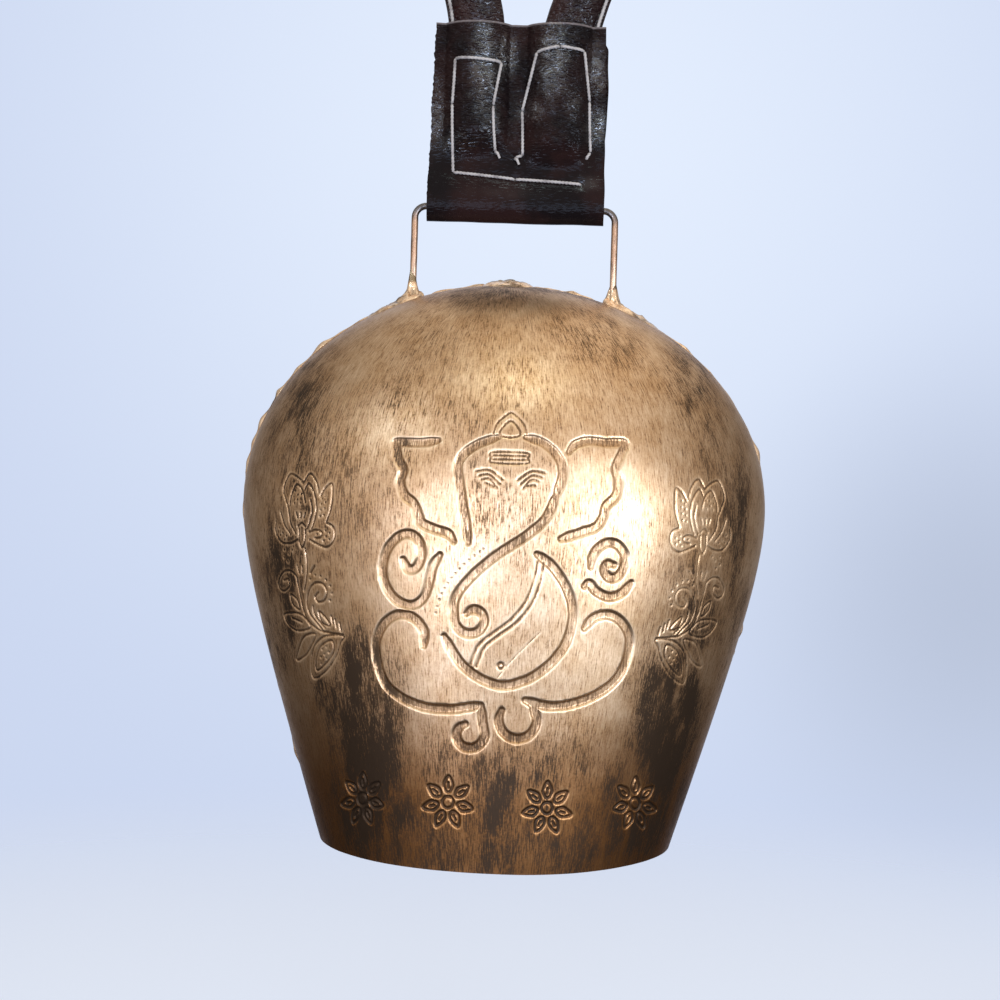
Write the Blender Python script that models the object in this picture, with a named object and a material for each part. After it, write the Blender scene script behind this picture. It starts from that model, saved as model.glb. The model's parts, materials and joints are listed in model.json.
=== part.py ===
"""A strap-hung sheet-metal bell.

A rolled leather strap makes the hanging loop.  Its two ends are sewn into a folded leather tab, and the
top bar of a wire bail turns in the fold.  The bail is brazed to the crown of a bell whose two dished
halves are brazed together along one upright seam.  A clapper hangs on a staple inside.

Units are metres and +Z is up.  The decorated front faces -Y and +X is to its right.  The origin is the
inner top of the strap loop, the point that rests on a hook.
"""
import math

import bmesh
import bpy
from mathutils import Matrix, Vector
from mathutils.geometry import interpolate_bezier

# Clearance that every piece keeps to its neighbour
GAP = 0.0003

# Levels, from the hanging point down
TAB_TOP_Z = -0.1180
BAR_AXIS_Z = TAB_TOP_Z - 0.0652
CROWN_TOP_Z = BAR_AXIS_Z - 0.0281
WIDEST_Z = CROWN_TOP_Z - 0.0787
MOUTH_Z = WIDEST_Z - 0.1195

# Bell shell
SHELL_HALF_WIDTH = 0.0933
SHELL_HALF_DEPTH = 0.0615
DOME_RISE = CROWN_TOP_Z - WIDEST_Z
MOUTH_HALF_WIDTH = 0.0626
MOUTH_HALF_DEPTH = 0.0540
WALL = 0.0012
FLARE_ROUNDING = 0.0288
SEAM_CREASE_AT_MOUTH = 1.04
SEAM_CREASE_AT_CROWN = 1.24
SHELL_COLUMNS = 30
DOME_ROWS = 11
SKIRT_ROWS = 8

# Wire bail over the crown
BAIL_CENTRE_X = 0.0008
BAIL_HALF_SPAN = 0.0360
BAIL_RADIUS = 0.00125
BAIL_BEND = 0.0042

# Brazed seams and joints; the skirt share is the part of each half of the seam below the widest level
BEAD_HALF_WIDTH = 0.0013
BEAD_HEIGHT = 0.0009
BEAD_STEP = 0.0055
SEAM_LENGTH = 0.62
SKIRT_SHARE = 0.48
COLLAR_RADIUS = 0.0046
COLLAR_HEIGHT = 0.0034
STAPLE_LUMP_HALF_LENGTH = 0.0078
STAPLE_LUMP_HALF_WIDTH = 0.0032
STAPLE_LUMP_HEIGHT = 0.0016

# Clapper, its staple and its link
STAPLE_RADIUS = 0.00125
STAPLE_HALF_SPAN = 0.0050
STAPLE_AXIS_Z = CROWN_TOP_Z - 0.0127
STAPLE_BEND = 0.0024
LINK_WIRE = 0.0012
LINK_RADIUS = 0.0065
ROD_RADIUS = 0.0015
EYE_RADIUS = 0.0055
BOB_RADIUS = 0.0140
BOB_CENTRE_Z = MOUTH_Z + 0.0262
BOB_FLAT = 0.0045
ROD_HEAD_RADIUS = 0.0034
ROD_HEAD_HEIGHT = 0.0014
ROD_NECK = 0.0030

# Leather tab: its side edges, and the half thickness of its outer faces at heights above the bar axis
TAB_LEFT_TOP = -0.0294
TAB_RIGHT_TOP = 0.0314
TAB_LEFT_BOTTOM = -0.0310
TAB_RIGHT_BOTTOM = 0.0326
LEATHER = 0.0020
FOLD_RADIUS = 0.0050
FOLD_DROP = 0.0054
PINCH_HEIGHT = 0.0100
PINCH_HALF = LEATHER + 0.5 * GAP + 0.00025
POCKET_HEIGHT = 0.0205
POCKET_HALF = 0.0057

# Rolled leather strap
ROLL_HALF_WIDTH = 0.0084
ROLL_HALF_DEPTH = 0.0064
ROLL_END_HALF_WIDTH = 0.0088
ROLL_END_HALF_DEPTH = 0.0032
FLANGE_REACH = 0.0024
FLANGE_HALF_THICKNESS = 0.0009
ROLL_END_Z = BAR_AXIS_Z + 0.0215
ROLL_SWELL_LENGTH = 0.030
ROLL_SIDES = 12
STRAP_STEPS_PER_SPAN = 6
STRAP_LEAN_LEFT = math.radians(5.0)
STRAP_LEAN_RIGHT = math.radians(13.0)

# Thread
THREAD_RADIUS = 0.00045
THREAD_STEP = 0.0034

# Colours of the finishes, linear
GOLD_PATINA = (0.42, 0.27, 0.14)
BRIGHT_BRAZE = (0.62, 0.36, 0.18)
COPPERY_WIRE = (0.30, 0.18, 0.11)
DARK_LEATHER = (0.030, 0.014, 0.012)
LEATHER_EDGE = (0.045, 0.022, 0.018)
WAXED_THREAD = (0.68, 0.62, 0.52)
DARK_IRON = (0.09, 0.08, 0.075)


def clear_scene():
    for thing in list(bpy.data.objects):
        bpy.data.objects.remove(thing, do_unlink=True)


def finish(name, colour, roughness, metallic):
    """A plain Principled material."""
    material = bpy.data.materials.new(name)
    material.use_nodes = True
    shader = material.node_tree.nodes["Principled BSDF"]
    shader.inputs["Base Color"].default_value = (*colour, 1.0)
    shader.inputs["Roughness"].default_value = roughness
    shader.inputs["Metallic"].default_value = metallic
    return material


def joint_axis(name, position, parent=None):
    """An empty on a joint's axis; the pieces that turn about it are its children."""
    axis = bpy.data.objects.new(name, None)
    axis.empty_display_size = 0.01
    bpy.context.collection.objects.link(axis)
    axis.location = position
    if parent:
        axis.parent = parent
        axis.location = Vector(position) - parent.matrix_world.translation
    bpy.context.view_layer.update()
    return axis


def add_object(name, data, material, axis=None):
    """Links an object, gives it its finish and hangs it on its joint's axis."""
    data.materials.append(material)
    piece = bpy.data.objects.new(name, data)
    bpy.context.collection.objects.link(piece)
    if axis:
        data.transform(Matrix.Translation(-axis.matrix_world.translation))
        piece.parent = axis
    return piece


def mesh_from(bm, name, smooth_angle=35.0):
    """Turns a bmesh into a closed, smooth-shaded mesh whose faces point out."""
    bmesh.ops.recalc_face_normals(bm, faces=bm.faces)
    mesh = bpy.data.meshes.new(name)
    bm.to_mesh(mesh)
    bm.free()
    mesh.shade_smooth()
    mesh.set_sharp_from_angle(angle=math.radians(smooth_angle))
    return mesh


def sheet(bm, columns, rows, place):
    """Adds a grid of quads and moves its corner (i, j) to place(i, j)."""
    corners = bmesh.ops.create_grid(bm, x_segments=columns, y_segments=rows, size=0.5)["verts"]
    for index, corner in enumerate(corners):
        corner.co = place(index % (columns + 1), index // (columns + 1))


def merge_and_cap(bm):
    """Closes a tube that was laid out as a sheet: joins its long edges and fills its two ends."""
    bmesh.ops.remove_doubles(bm, verts=bm.verts, dist=1e-7)
    bmesh.ops.holes_fill(bm, edges=bm.edges, sides=0)


def tube(name, points, radius, resolution=2, swells=()):
    """A wire of round section along a list of points, with closed ends.

    swells gives the first points' thickness as multiples of the radius.
    """
    curve = bpy.data.curves.new(name, "CURVE")
    curve.dimensions = "3D"
    curve.bevel_depth = radius
    curve.bevel_resolution = resolution
    curve.use_fill_caps = True
    spline = curve.splines.new("POLY")
    spline.points.add(len(points) - 1)
    for point, place in zip(spline.points, points):
        point.co = (*place, 1.0)
    for point, thickness in zip(spline.points, swells):
        point.radius = thickness
    return curve


def arc(centre, radius, start, end, steps):
    """Points on an arc in the XZ plane; angles in degrees from +X towards +Z."""
    points = []
    for step in range(steps + 1):
        angle = math.radians(start + (end - start) * step / steps)
        points.append(centre + Vector((radius * math.cos(angle), 0.0, radius * math.sin(angle))))
    return points


# Bell shell -------------------------------------------------------------------------------------


def shell_section(row):
    """Half width, half depth, height and seam crease of the outer shell at a row, crown first."""
    if row <= DOME_ROWS:
        climb = math.radians(90.0) * (1.0 - row / DOME_ROWS)
        crease = SEAM_CREASE_AT_MOUTH + (SEAM_CREASE_AT_CROWN - SEAM_CREASE_AT_MOUTH) * math.sin(climb)
        half_width = SHELL_HALF_WIDTH * math.cos(climb)
        half_depth = SHELL_HALF_DEPTH * math.cos(climb)
        return half_width, half_depth, WIDEST_Z + DOME_RISE * math.sin(climb), crease
    share = (row - DOME_ROWS) / SKIRT_ROWS
    drop = (WIDEST_Z - MOUTH_Z) * share ** 1.25
    return (*skirt_halves(drop), WIDEST_Z - drop, SEAM_CREASE_AT_MOUTH)


def skirt_halves(drop):
    """Half width and half depth below the widest level: a rounded start into a straight taper."""
    full = math.hypot(WIDEST_Z - MOUTH_Z, FLARE_ROUNDING) - FLARE_ROUNDING
    share = (math.hypot(drop, FLARE_ROUNDING) - FLARE_ROUNDING) / full
    half_width = SHELL_HALF_WIDTH - (SHELL_HALF_WIDTH - MOUTH_HALF_WIDTH) * share
    half_depth = SHELL_HALF_DEPTH - (SHELL_HALF_DEPTH - MOUTH_HALF_DEPTH) * share
    return half_width, half_depth


def shell_point(column, row, inset, side):
    """A point of one half shell, inset from its outer face; side is -1 for the front."""
    half_width, half_depth, height, crease = shell_section(row)
    turn = math.pi * column / SHELL_COLUMNS
    sine = max(math.sin(turn), 0.0)
    if row < DOME_ROWS:
        shrink = 1.0 - inset / DOME_RISE
        height = WIDEST_Z + (height - WIDEST_Z) * shrink
    if row <= DOME_ROWS:
        half_width *= 1.0 - inset / SHELL_HALF_WIDTH
        half_depth *= 1.0 - inset / SHELL_HALF_DEPTH
    else:
        half_width -= inset
        half_depth -= inset
    across = half_width * math.cos(turn)
    if column in (0, SHELL_COLUMNS):
        sine = 0.0
    return Vector((across, side * (0.5 * GAP + half_depth * sine ** crease), height))


def half_shell(name, side):
    """One dished half: outer and inner faces joined by flat seam edges and a flat rim."""
    bm = bmesh.new()
    rows = DOME_ROWS + SKIRT_ROWS
    for inset in (0.0, WALL):
        sheet(bm, SHELL_COLUMNS, rows, lambda i, j: shell_point(i, j, inset, side))
    bmesh.ops.remove_doubles(bm, verts=bm.verts, dist=1e-7)
    rims = [edge for edge in bm.edges if edge.is_boundary]
    bmesh.ops.bridge_loops(bm, edges=rims)
    return mesh_from(bm, name)


def cut_staple_holes(shells, axis):
    """Each leg of the staple comes up through a round hole on the seam line."""
    for label, x in (("left", -STAPLE_HALF_SPAN), ("right", STAPLE_HALF_SPAN)):
        bm = bmesh.new()
        bmesh.ops.create_cone(
            bm,
            cap_ends=True,
            segments=16,
            radius1=STAPLE_RADIUS + GAP,
            radius2=STAPLE_RADIUS + GAP,
            depth=0.010,
            matrix=Matrix.Translation((x, 0.0, CROWN_TOP_Z)),
        )
        mesh = mesh_from(bm, "staple_hole_" + label)
        cutter = bpy.data.objects.new("staple_hole_" + label, mesh)
        bpy.context.collection.objects.link(cutter)
        mesh.transform(Matrix.Translation(-axis.matrix_world.translation))
        cutter.parent = axis
        cutter.hide_render = True
        cutter.display_type = "WIRE"
        for shell in shells:
            hole = shell.modifiers.new("staple_hole_" + label, "BOOLEAN")
            hole.operation = "DIFFERENCE"
            hole.solver = "EXACT"
            hole.object = cutter


# Brazing ----------------------------------------------------------------------------------------


def seam_outline_point(length_share):
    """A point of the seam line from the left end of the mouth (0) over the crown (0.5) to the right (1)."""
    mirrored = min(length_share, 1.0 - length_share) * 2.0
    if mirrored < SKIRT_SHARE:
        drop = (WIDEST_Z - MOUTH_Z) * (1.0 - mirrored / SKIRT_SHARE)
        x = skirt_halves(drop)[0]
        z = WIDEST_Z - drop
    else:
        climb = math.radians(90.0) * (mirrored - SKIRT_SHARE) / (1.0 - SKIRT_SHARE)
        x = SHELL_HALF_WIDTH * math.cos(climb)
        z = WIDEST_Z + DOME_RISE * math.sin(climb)
    return Vector((-x if length_share < 0.5 else x, 0.0, z))


def seam_share_at(x):
    """Where along the dome the seam line passes over x."""
    climb = math.acos(min(abs(x) / SHELL_HALF_WIDTH, 1.0))
    mirrored = SKIRT_SHARE + (1.0 - SKIRT_SHARE) * climb / math.radians(90.0)
    return 0.5 * mirrored if x < 0.0 else 1.0 - 0.5 * mirrored


def bead_section(height, half_width):
    """Outline of a braze bead, as (out from the shell, across the seam)."""
    return [
        (GAP, -half_width),
        (GAP, half_width),
        (GAP + 0.55 * height, 0.80 * half_width),
        (GAP + height, 0.25 * half_width),
        (GAP + height, -0.25 * half_width),
        (GAP + 0.55 * height, -0.80 * half_width),
    ]


def seam_bead(name, start, end):
    """A bead of braze along the seam between two shares of its length."""
    length = abs(end - start) * SEAM_LENGTH
    steps = max(3, round(length / BEAD_STEP))
    outline = bead_section(BEAD_HEIGHT, BEAD_HALF_WIDTH)

    def place(i, j):
        share = start + (end - start) * j / steps
        here = seam_outline_point(share)
        ahead = seam_outline_point(min(share + 0.002, 1.0))
        behind = seam_outline_point(max(share - 0.002, 0.0))
        along = (ahead - behind).normalized()
        outward = Vector((-along.z, 0.0, along.x))
        out, across = outline[i % len(outline)]
        return here + outward * out + Vector((0.0, across, 0.0))

    bm = bmesh.new()
    sheet(bm, len(outline), steps, place)
    merge_and_cap(bm)
    return mesh_from(bm, name)


def dome_height(x):
    """Height of the crown line over x."""
    return WIDEST_Z + DOME_RISE * math.sqrt(1.0 - (x / SHELL_HALF_WIDTH) ** 2)


def foot_collar(name, x):
    """A collar of braze round a bail foot, its base sloping with the dome."""
    base_z = dome_height(x)
    inner = BAIL_RADIUS + GAP
    skirt = 0.006
    profile = [
        Vector((inner, 0.0, -skirt)),
        Vector((COLLAR_RADIUS, 0.0, -skirt)),
        Vector((COLLAR_RADIUS, 0.0, 0.0006)),
        Vector((0.62 * COLLAR_RADIUS, 0.0, 0.45 * COLLAR_HEIGHT)),
        Vector((inner + 0.0005, 0.0, COLLAR_HEIGHT)),
        Vector((inner, 0.0, COLLAR_HEIGHT)),
    ]
    bm = ring_of(profile, 18)
    slope = -DOME_RISE * x / SHELL_HALF_WIDTH ** 2 / math.sqrt(1.0 - (x / SHELL_HALF_WIDTH) ** 2)
    normal = Vector((-slope, 0.0, 1.0)).normalized()
    cut = bmesh.ops.bisect_plane(
        bm,
        geom=bm.verts[:] + bm.edges[:] + bm.faces[:],
        plane_co=normal * GAP,
        plane_no=normal,
        clear_inner=True,
    )
    rims = [edge for edge in cut["geom_cut"] if isinstance(edge, bmesh.types.BMEdge)]
    bmesh.ops.bridge_loops(bm, edges=rims)
    bmesh.ops.translate(bm, verts=bm.verts, vec=(x, 0.0, base_z))
    return mesh_from(bm, name)


def ring_of(profile, steps):
    """Spins a closed outline a full turn about the Z axis."""
    bm = bmesh.new()
    corners = [bm.verts.new(point) for point in profile]
    for corner, following in zip(corners, corners[1:] + corners[:1]):
        bm.edges.new((corner, following))
    bmesh.ops.spin(
        bm,
        geom=bm.verts[:] + bm.edges[:],
        cent=(0.0, 0.0, 0.0),
        axis=(0.0, 0.0, 1.0),
        angle=math.radians(360.0),
        steps=steps,
        use_merge=True,
    )
    return bm


def staple_lump(name):
    """The pool of braze on the crown that holds the staple's two legs."""
    bm = bmesh.new()
    bmesh.ops.create_uvsphere(bm, u_segments=16, v_segments=8, radius=1.0)
    bmesh.ops.bisect_plane(
        bm,
        geom=bm.verts[:] + bm.edges[:] + bm.faces[:],
        plane_co=(0.0, 0.0, 0.0),
        plane_no=(0.0, 0.0, 1.0),
        clear_inner=True,
    )
    bmesh.ops.holes_fill(bm, edges=bm.edges, sides=0)
    size = (STAPLE_LUMP_HALF_LENGTH, STAPLE_LUMP_HALF_WIDTH, STAPLE_LUMP_HEIGHT)
    bmesh.ops.scale(bm, verts=bm.verts, vec=size)
    bmesh.ops.translate(bm, verts=bm.verts, vec=(0.0, 0.0, CROWN_TOP_Z + GAP))
    return mesh_from(bm, name)


# Wire pieces ------------------------------------------------------------------------------------


def bail_path():
    """From the left foot up, along the bar and down to the right foot."""
    left = BAIL_CENTRE_X - BAIL_HALF_SPAN
    right = BAIL_CENTRE_X + BAIL_HALF_SPAN
    bend_z = BAR_AXIS_Z - BAIL_BEND
    left_foot = dome_height(abs(left) - BAIL_RADIUS) + GAP
    right_foot = dome_height(right - BAIL_RADIUS) + GAP
    points = [Vector((left, 0.0, left_foot))]
    points += arc(Vector((left + BAIL_BEND, 0.0, bend_z)), BAIL_BEND, 180.0, 90.0, 6)
    points += arc(Vector((right - BAIL_BEND, 0.0, bend_z)), BAIL_BEND, 90.0, 0.0, 6)
    points.append(Vector((right, 0.0, right_foot)))
    return points


def staple_path():
    """A narrow U that hangs from the crown, open end up."""
    bend_z = STAPLE_AXIS_Z + STAPLE_BEND
    top = CROWN_TOP_Z - 0.0001
    points = [Vector((-STAPLE_HALF_SPAN, 0.0, top))]
    points += arc(Vector((-STAPLE_HALF_SPAN + STAPLE_BEND, 0.0, bend_z)), STAPLE_BEND, 180.0, 270.0, 5)
    points += arc(Vector((STAPLE_HALF_SPAN - STAPLE_BEND, 0.0, bend_z)), STAPLE_BEND, 270.0, 360.0, 5)
    points.append(Vector((STAPLE_HALF_SPAN, 0.0, top)))
    return points


LINK_CENTRE_Z = STAPLE_AXIS_Z - (LINK_RADIUS - LINK_WIRE - STAPLE_RADIUS - GAP)
LINK_BOTTOM_Z = LINK_CENTRE_Z - LINK_RADIUS
EYE_CENTRE_Z = LINK_BOTTOM_Z - (EYE_RADIUS - ROD_RADIUS - LINK_WIRE - GAP)


def link_ring(name):
    """A closed wire ring standing in the YZ plane."""
    circle = []
    for step in range(8):
        angle = math.radians(45.0 * step)
        circle.append(Vector((LINK_RADIUS + LINK_WIRE * math.cos(angle), 0.0, LINK_WIRE * math.sin(angle))))
    bm = ring_of(circle, 24)
    bmesh.ops.rotate(bm, verts=bm.verts, cent=(0, 0, 0), matrix=Matrix.Rotation(math.radians(90.0), 3, "Y"))
    bmesh.ops.translate(bm, verts=bm.verts, vec=(0.0, 0.0, LINK_CENTRE_Z))
    return mesh_from(bm, name, 60.0)


def rod_path():
    """From the head up the rod, then round the eye almost back to its neck."""
    head_top = BOB_CENTRE_Z - BOB_RADIUS - GAP
    heights = (head_top - ROD_HEAD_HEIGHT, head_top - 0.0001, head_top, EYE_CENTRE_Z - EYE_RADIUS - ROD_NECK)
    points = [Vector((0.0, 0.0, height)) for height in heights]
    points += arc(Vector((0.0, 0.0, EYE_CENTRE_Z)), EYE_RADIUS, -72.0, 228.0, 18)
    return points


def clapper_rod(name):
    """The rod with its bent eye, and the peened head that the bob rests on."""
    head = ROD_HEAD_RADIUS / ROD_RADIUS
    return tube(name, rod_path(), ROD_RADIUS, swells=(0.8 * head, head, 1.0))


def clapper_bob(name):
    """A round bob with a bore for the rod."""
    bore = ROD_RADIUS + GAP
    profile = [Vector((bore, 0.0, -BOB_RADIUS)), Vector((BOB_FLAT, 0.0, -BOB_RADIUS))]
    for step in range(1, 9):
        angle = math.radians(-90.0 + 20.0 * step)
        reach = BOB_FLAT * (1.0 - math.cos(angle)) + BOB_RADIUS * math.cos(angle)
        profile.append(Vector((reach, 0.0, BOB_RADIUS * math.sin(angle))))
    profile += [Vector((BOB_FLAT, 0.0, BOB_RADIUS)), Vector((bore, 0.0, BOB_RADIUS))]
    bm = ring_of(profile, 20)
    bmesh.ops.translate(bm, verts=bm.verts, vec=(0.0, 0.0, BOB_CENTRE_Z))
    return mesh_from(bm, name)


# Leather tab ------------------------------------------------------------------------------------


def tab_half_thickness(height):
    """Half thickness of the tab's outer faces at a height above the bar axis."""
    stops = [(0.0, FOLD_RADIUS), (PINCH_HEIGHT, PINCH_HALF), (POCKET_HEIGHT, POCKET_HALF), (1.0, POCKET_HALF)]
    for (low, low_half), (high, high_half) in zip(stops, stops[1:]):
        if height <= high:
            share = max(0.0, (height - low) / (high - low))
            return low_half + (high_half - low_half) * share
    return POCKET_HALF


def tab_outline():
    """The tab's section as (y, height above the bar axis): outside first, then back up the inside."""
    top = TAB_TOP_Z - BAR_AXIS_Z
    front = [(-POCKET_HALF, top), (-POCKET_HALF, POCKET_HEIGHT), (-PINCH_HALF, PINCH_HEIGHT)]
    fold_centre = FOLD_RADIUS - FOLD_DROP
    for step in range(13):
        angle = math.radians(180.0 + 15.0 * step)
        front.append((FOLD_RADIUS * math.cos(angle), fold_centre + FOLD_RADIUS * math.sin(angle)))
    back = [(PINCH_HALF, PINCH_HEIGHT), (POCKET_HALF, POCKET_HEIGHT), (POCKET_HALF, top)]
    bore = BAIL_RADIUS + GAP + 0.00005
    pocket_inner = POCKET_HALF - LEATHER
    slit = 0.5 * GAP
    inside = [(pocket_inner, top), (pocket_inner, POCKET_HEIGHT), (slit, PINCH_HEIGHT), (slit, bore)]
    for step in range(1, 12):
        angle = math.radians(90.0 - 30.0 * step)
        inside.append((bore * math.cos(angle), bore * math.sin(angle)))
    inside += [(-slit, bore), (-slit, PINCH_HEIGHT), (-pocket_inner, POCKET_HEIGHT), (-pocket_inner, top)]
    return front + back + inside


def leather_tab(name):
    """A strip folded once round the bar, its two flaps apart at the top to take the strap ends."""
    bm = bmesh.new()
    outline = [bm.verts.new((0.0, y, BAR_AXIS_Z + height)) for y, height in tab_outline()]
    side = bm.faces.new(outline)
    grown = bmesh.ops.extrude_face_region(bm, geom=[side])["geom"]
    far_side = [item for item in grown if isinstance(item, bmesh.types.BMVert)]
    full = TAB_TOP_Z - BAR_AXIS_Z
    for corner in bm.verts:
        rise = max(0.0, (corner.co.z - BAR_AXIS_Z) / full)
        left = TAB_LEFT_BOTTOM + (TAB_LEFT_TOP - TAB_LEFT_BOTTOM) * rise
        right = TAB_RIGHT_BOTTOM + (TAB_RIGHT_TOP - TAB_RIGHT_BOTTOM) * rise
        corner.co.x = right if corner in far_side else left
    return mesh_from(bm, name)


# Strap ------------------------------------------------------------------------------------------


def strap_knots():
    """The strap's centre line: place, direction of travel and the reach of its two handles."""
    up = Vector((0.0, 0.0, 1.0))
    across = Vector((1.0, 0.0, 0.0))
    leaving = Vector((-math.sin(STRAP_LEAN_LEFT), 0.0, math.cos(STRAP_LEAN_LEFT)))
    returning = Vector((-math.sin(STRAP_LEAN_RIGHT), 0.0, -math.cos(STRAP_LEAN_RIGHT)))
    return [
        (Vector((-0.0140, 0.0, ROLL_END_Z)), up, 0.0, 0.014),
        (Vector((-0.0137, 0.0, TAB_TOP_Z)), leaving, 0.014, 0.020),
        (Vector((-0.0300, 0.0, TAB_TOP_Z + 0.066)), up, 0.024, 0.034),
        (Vector((0.0, 0.0, ROLL_HALF_WIDTH)), across, 0.017, 0.019),
        (Vector((0.0375, 0.0, TAB_TOP_Z + 0.068)), -up, 0.033, 0.022),
        (Vector((0.0183, 0.0, TAB_TOP_Z)), returning, 0.020, 0.014),
        (Vector((0.0150, 0.0, ROLL_END_Z)), -up, 0.014, 0.0),
    ]


def strap_line():
    """Points along the strap's centre, each with its direction of travel."""
    knots = strap_knots()
    points = []
    for (start, start_way, _, leave), (end, end_way, arrive, _) in zip(knots, knots[1:]):
        span = interpolate_bezier(
            start, start + start_way * leave, end - end_way * arrive, end, STRAP_STEPS_PER_SPAN + 1
        )
        points += span if not points else span[1:]
    line = []
    for index, point in enumerate(points):
        ahead = points[min(index + 1, len(points) - 1)]
        behind = points[max(index - 1, 0)]
        line.append((point, (ahead - behind).normalized()))
    return line


def swell(point):
    """0 where the roll is pressed flat in the tab, rising to 1 where it is round."""
    share = (point.z - TAB_TOP_Z + 0.004) / ROLL_SWELL_LENGTH
    share = min(max(share, 0.0), 1.0)
    return share * share * (3.0 - 2.0 * share)


def roll_halves(point):
    """Half width in the plane of the loop and half depth across it."""
    share = swell(point)
    half_width = ROLL_END_HALF_WIDTH + (ROLL_HALF_WIDTH - ROLL_END_HALF_WIDTH) * share
    half_depth = ROLL_END_HALF_DEPTH + (ROLL_HALF_DEPTH - ROLL_END_HALF_DEPTH) * share
    return half_width, half_depth


def strap_roll(name):
    """A rolled strap with a sewn flange along the outer side of the loop."""
    line = strap_line()
    start_angle = math.radians(24.0)

    def place(i, j):
        point, along = line[j]
        half_width, half_depth = roll_halves(point)
        outward = Vector((-along.z, 0.0, along.x))
        corner = i % (ROLL_SIDES + 3)
        if corner <= ROLL_SIDES:
            angle = start_angle + (2.0 * math.pi - 2.0 * start_angle) * corner / ROLL_SIDES
            out = half_width * math.cos(angle)
            across = half_depth * math.sin(angle)
            if corner in (0, ROLL_SIDES):
                across = math.copysign(FLANGE_HALF_THICKNESS, across)
        else:
            out = half_width + FLANGE_REACH
            across = -FLANGE_HALF_THICKNESS if corner == ROLL_SIDES + 1 else FLANGE_HALF_THICKNESS
        return point + outward * out + Vector((0.0, across, 0.0))

    bm = bmesh.new()
    sheet(bm, ROLL_SIDES + 3, len(line) - 1, place)
    merge_and_cap(bm)
    return mesh_from(bm, name)


def strap_seam_path(side):
    """The sewn line between roll and flange, on the front (-1) or back (1) of the strap."""
    path = []
    for point, along in strap_line():
        half_width, _ = roll_halves(point)
        outward = Vector((-along.z, 0.0, along.x))
        across = side * (FLANGE_HALF_THICKNESS + GAP + THREAD_RADIUS)
        path.append(point + outward * (half_width + 0.45 * FLANGE_REACH) + Vector((0.0, across, 0.0)))
    return path


# Stitches of the tab, as (x, height above the bar axis)
LEFT_STITCHES = [
    (-0.0070, 0.0195),
    (-0.0086, 0.0354),
    (-0.0056, 0.0511),
    (-0.0222, 0.0520),
    (-0.0228, 0.0358),
    (-0.0219, 0.0119),
    (0.0000, 0.0098),
    (0.0242, 0.0087),
]
RIGHT_STITCHES = [
    (-0.0002, 0.0174),
    (0.0028, 0.0185),
    (0.0022, 0.0340),
    (0.0069, 0.0550),
    (0.0148, 0.0566),
    (0.0237, 0.0560),
    (0.0262, 0.0385),
    (0.0271, 0.0205),
    (0.0253, 0.0178),
]


def stitch_path(corners, side):
    """Lays a thread on the tab's front (-1) or back (1) face through its corners."""
    path = []
    for (x0, h0), (x1, h1) in zip(corners, corners[1:]):
        count = max(1, round(math.hypot(x1 - x0, h1 - h0) / THREAD_STEP))
        for index in range(count):
            share = index / count
            path.append((x0 + (x1 - x0) * share, h0 + (h1 - h0) * share))
    path.append(corners[-1])
    lift = GAP + THREAD_RADIUS + 0.00005
    return [Vector((x, side * (tab_half_thickness(h) + lift), BAR_AXIS_Z + h)) for x, h in path]


# Assembly ---------------------------------------------------------------------------------------


def build_strap(materials):
    add_object("strap_roll", strap_roll("strap_roll"), materials["strap"])
    add_object("leather_tab", leather_tab("leather_tab"), materials["tab"])
    for label, side in (("front", -1.0), ("back", 1.0)):
        seam = "strap_seam_thread_" + label
        add_object(seam, tube(seam, strap_seam_path(side), THREAD_RADIUS, 1), materials["thread"])
        for hand, corners in (("left", LEFT_STITCHES), ("right", RIGHT_STITCHES)):
            name = hand + "_tab_thread_" + label
            add_object(name, tube(name, stitch_path(corners, side), THREAD_RADIUS, 1), materials["thread"])


def build_bell(materials, axis):
    shells = []
    for name, side in (("front_shell", -1.0), ("back_shell", 1.0)):
        shells.append(add_object(name, half_shell(name, side), materials["shell"], axis))
    cut_staple_holes(shells, axis)
    add_object("bail", tube("bail", bail_path(), BAIL_RADIUS), materials["bail"], axis)
    left_foot = BAIL_CENTRE_X - BAIL_HALF_SPAN
    right_foot = BAIL_CENTRE_X + BAIL_HALF_SPAN
    add_object("left_foot_braze", foot_collar("left_foot_braze", left_foot), materials["braze"], axis)
    add_object("right_foot_braze", foot_collar("right_foot_braze", right_foot), materials["braze"], axis)
    room = COLLAR_RADIUS + 0.0008
    lump = STAPLE_LUMP_HALF_LENGTH + 0.0008
    beads = {
        "left_seam_braze": (0.0, seam_share_at(left_foot - room)),
        "left_crown_braze": (seam_share_at(left_foot + room), seam_share_at(-lump)),
        "right_crown_braze": (seam_share_at(lump), seam_share_at(right_foot - room)),
        "right_seam_braze": (seam_share_at(right_foot + room), 1.0),
    }
    for name, (start, end) in beads.items():
        add_object(name, seam_bead(name, start, end), materials["braze"], axis)
    staple = tube("clapper_staple", staple_path(), STAPLE_RADIUS)
    add_object("clapper_staple", staple, materials["iron"], axis)
    add_object("staple_braze", staple_lump("staple_braze"), materials["braze"], axis)


def build_clapper(materials, link_axis, clapper_axis):
    add_object("clapper_link", link_ring("clapper_link"), materials["iron"], link_axis)
    add_object("clapper_rod", clapper_rod("clapper_rod"), materials["iron"], clapper_axis)
    add_object("clapper_bob", clapper_bob("clapper_bob"), materials["iron"], clapper_axis)


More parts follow.
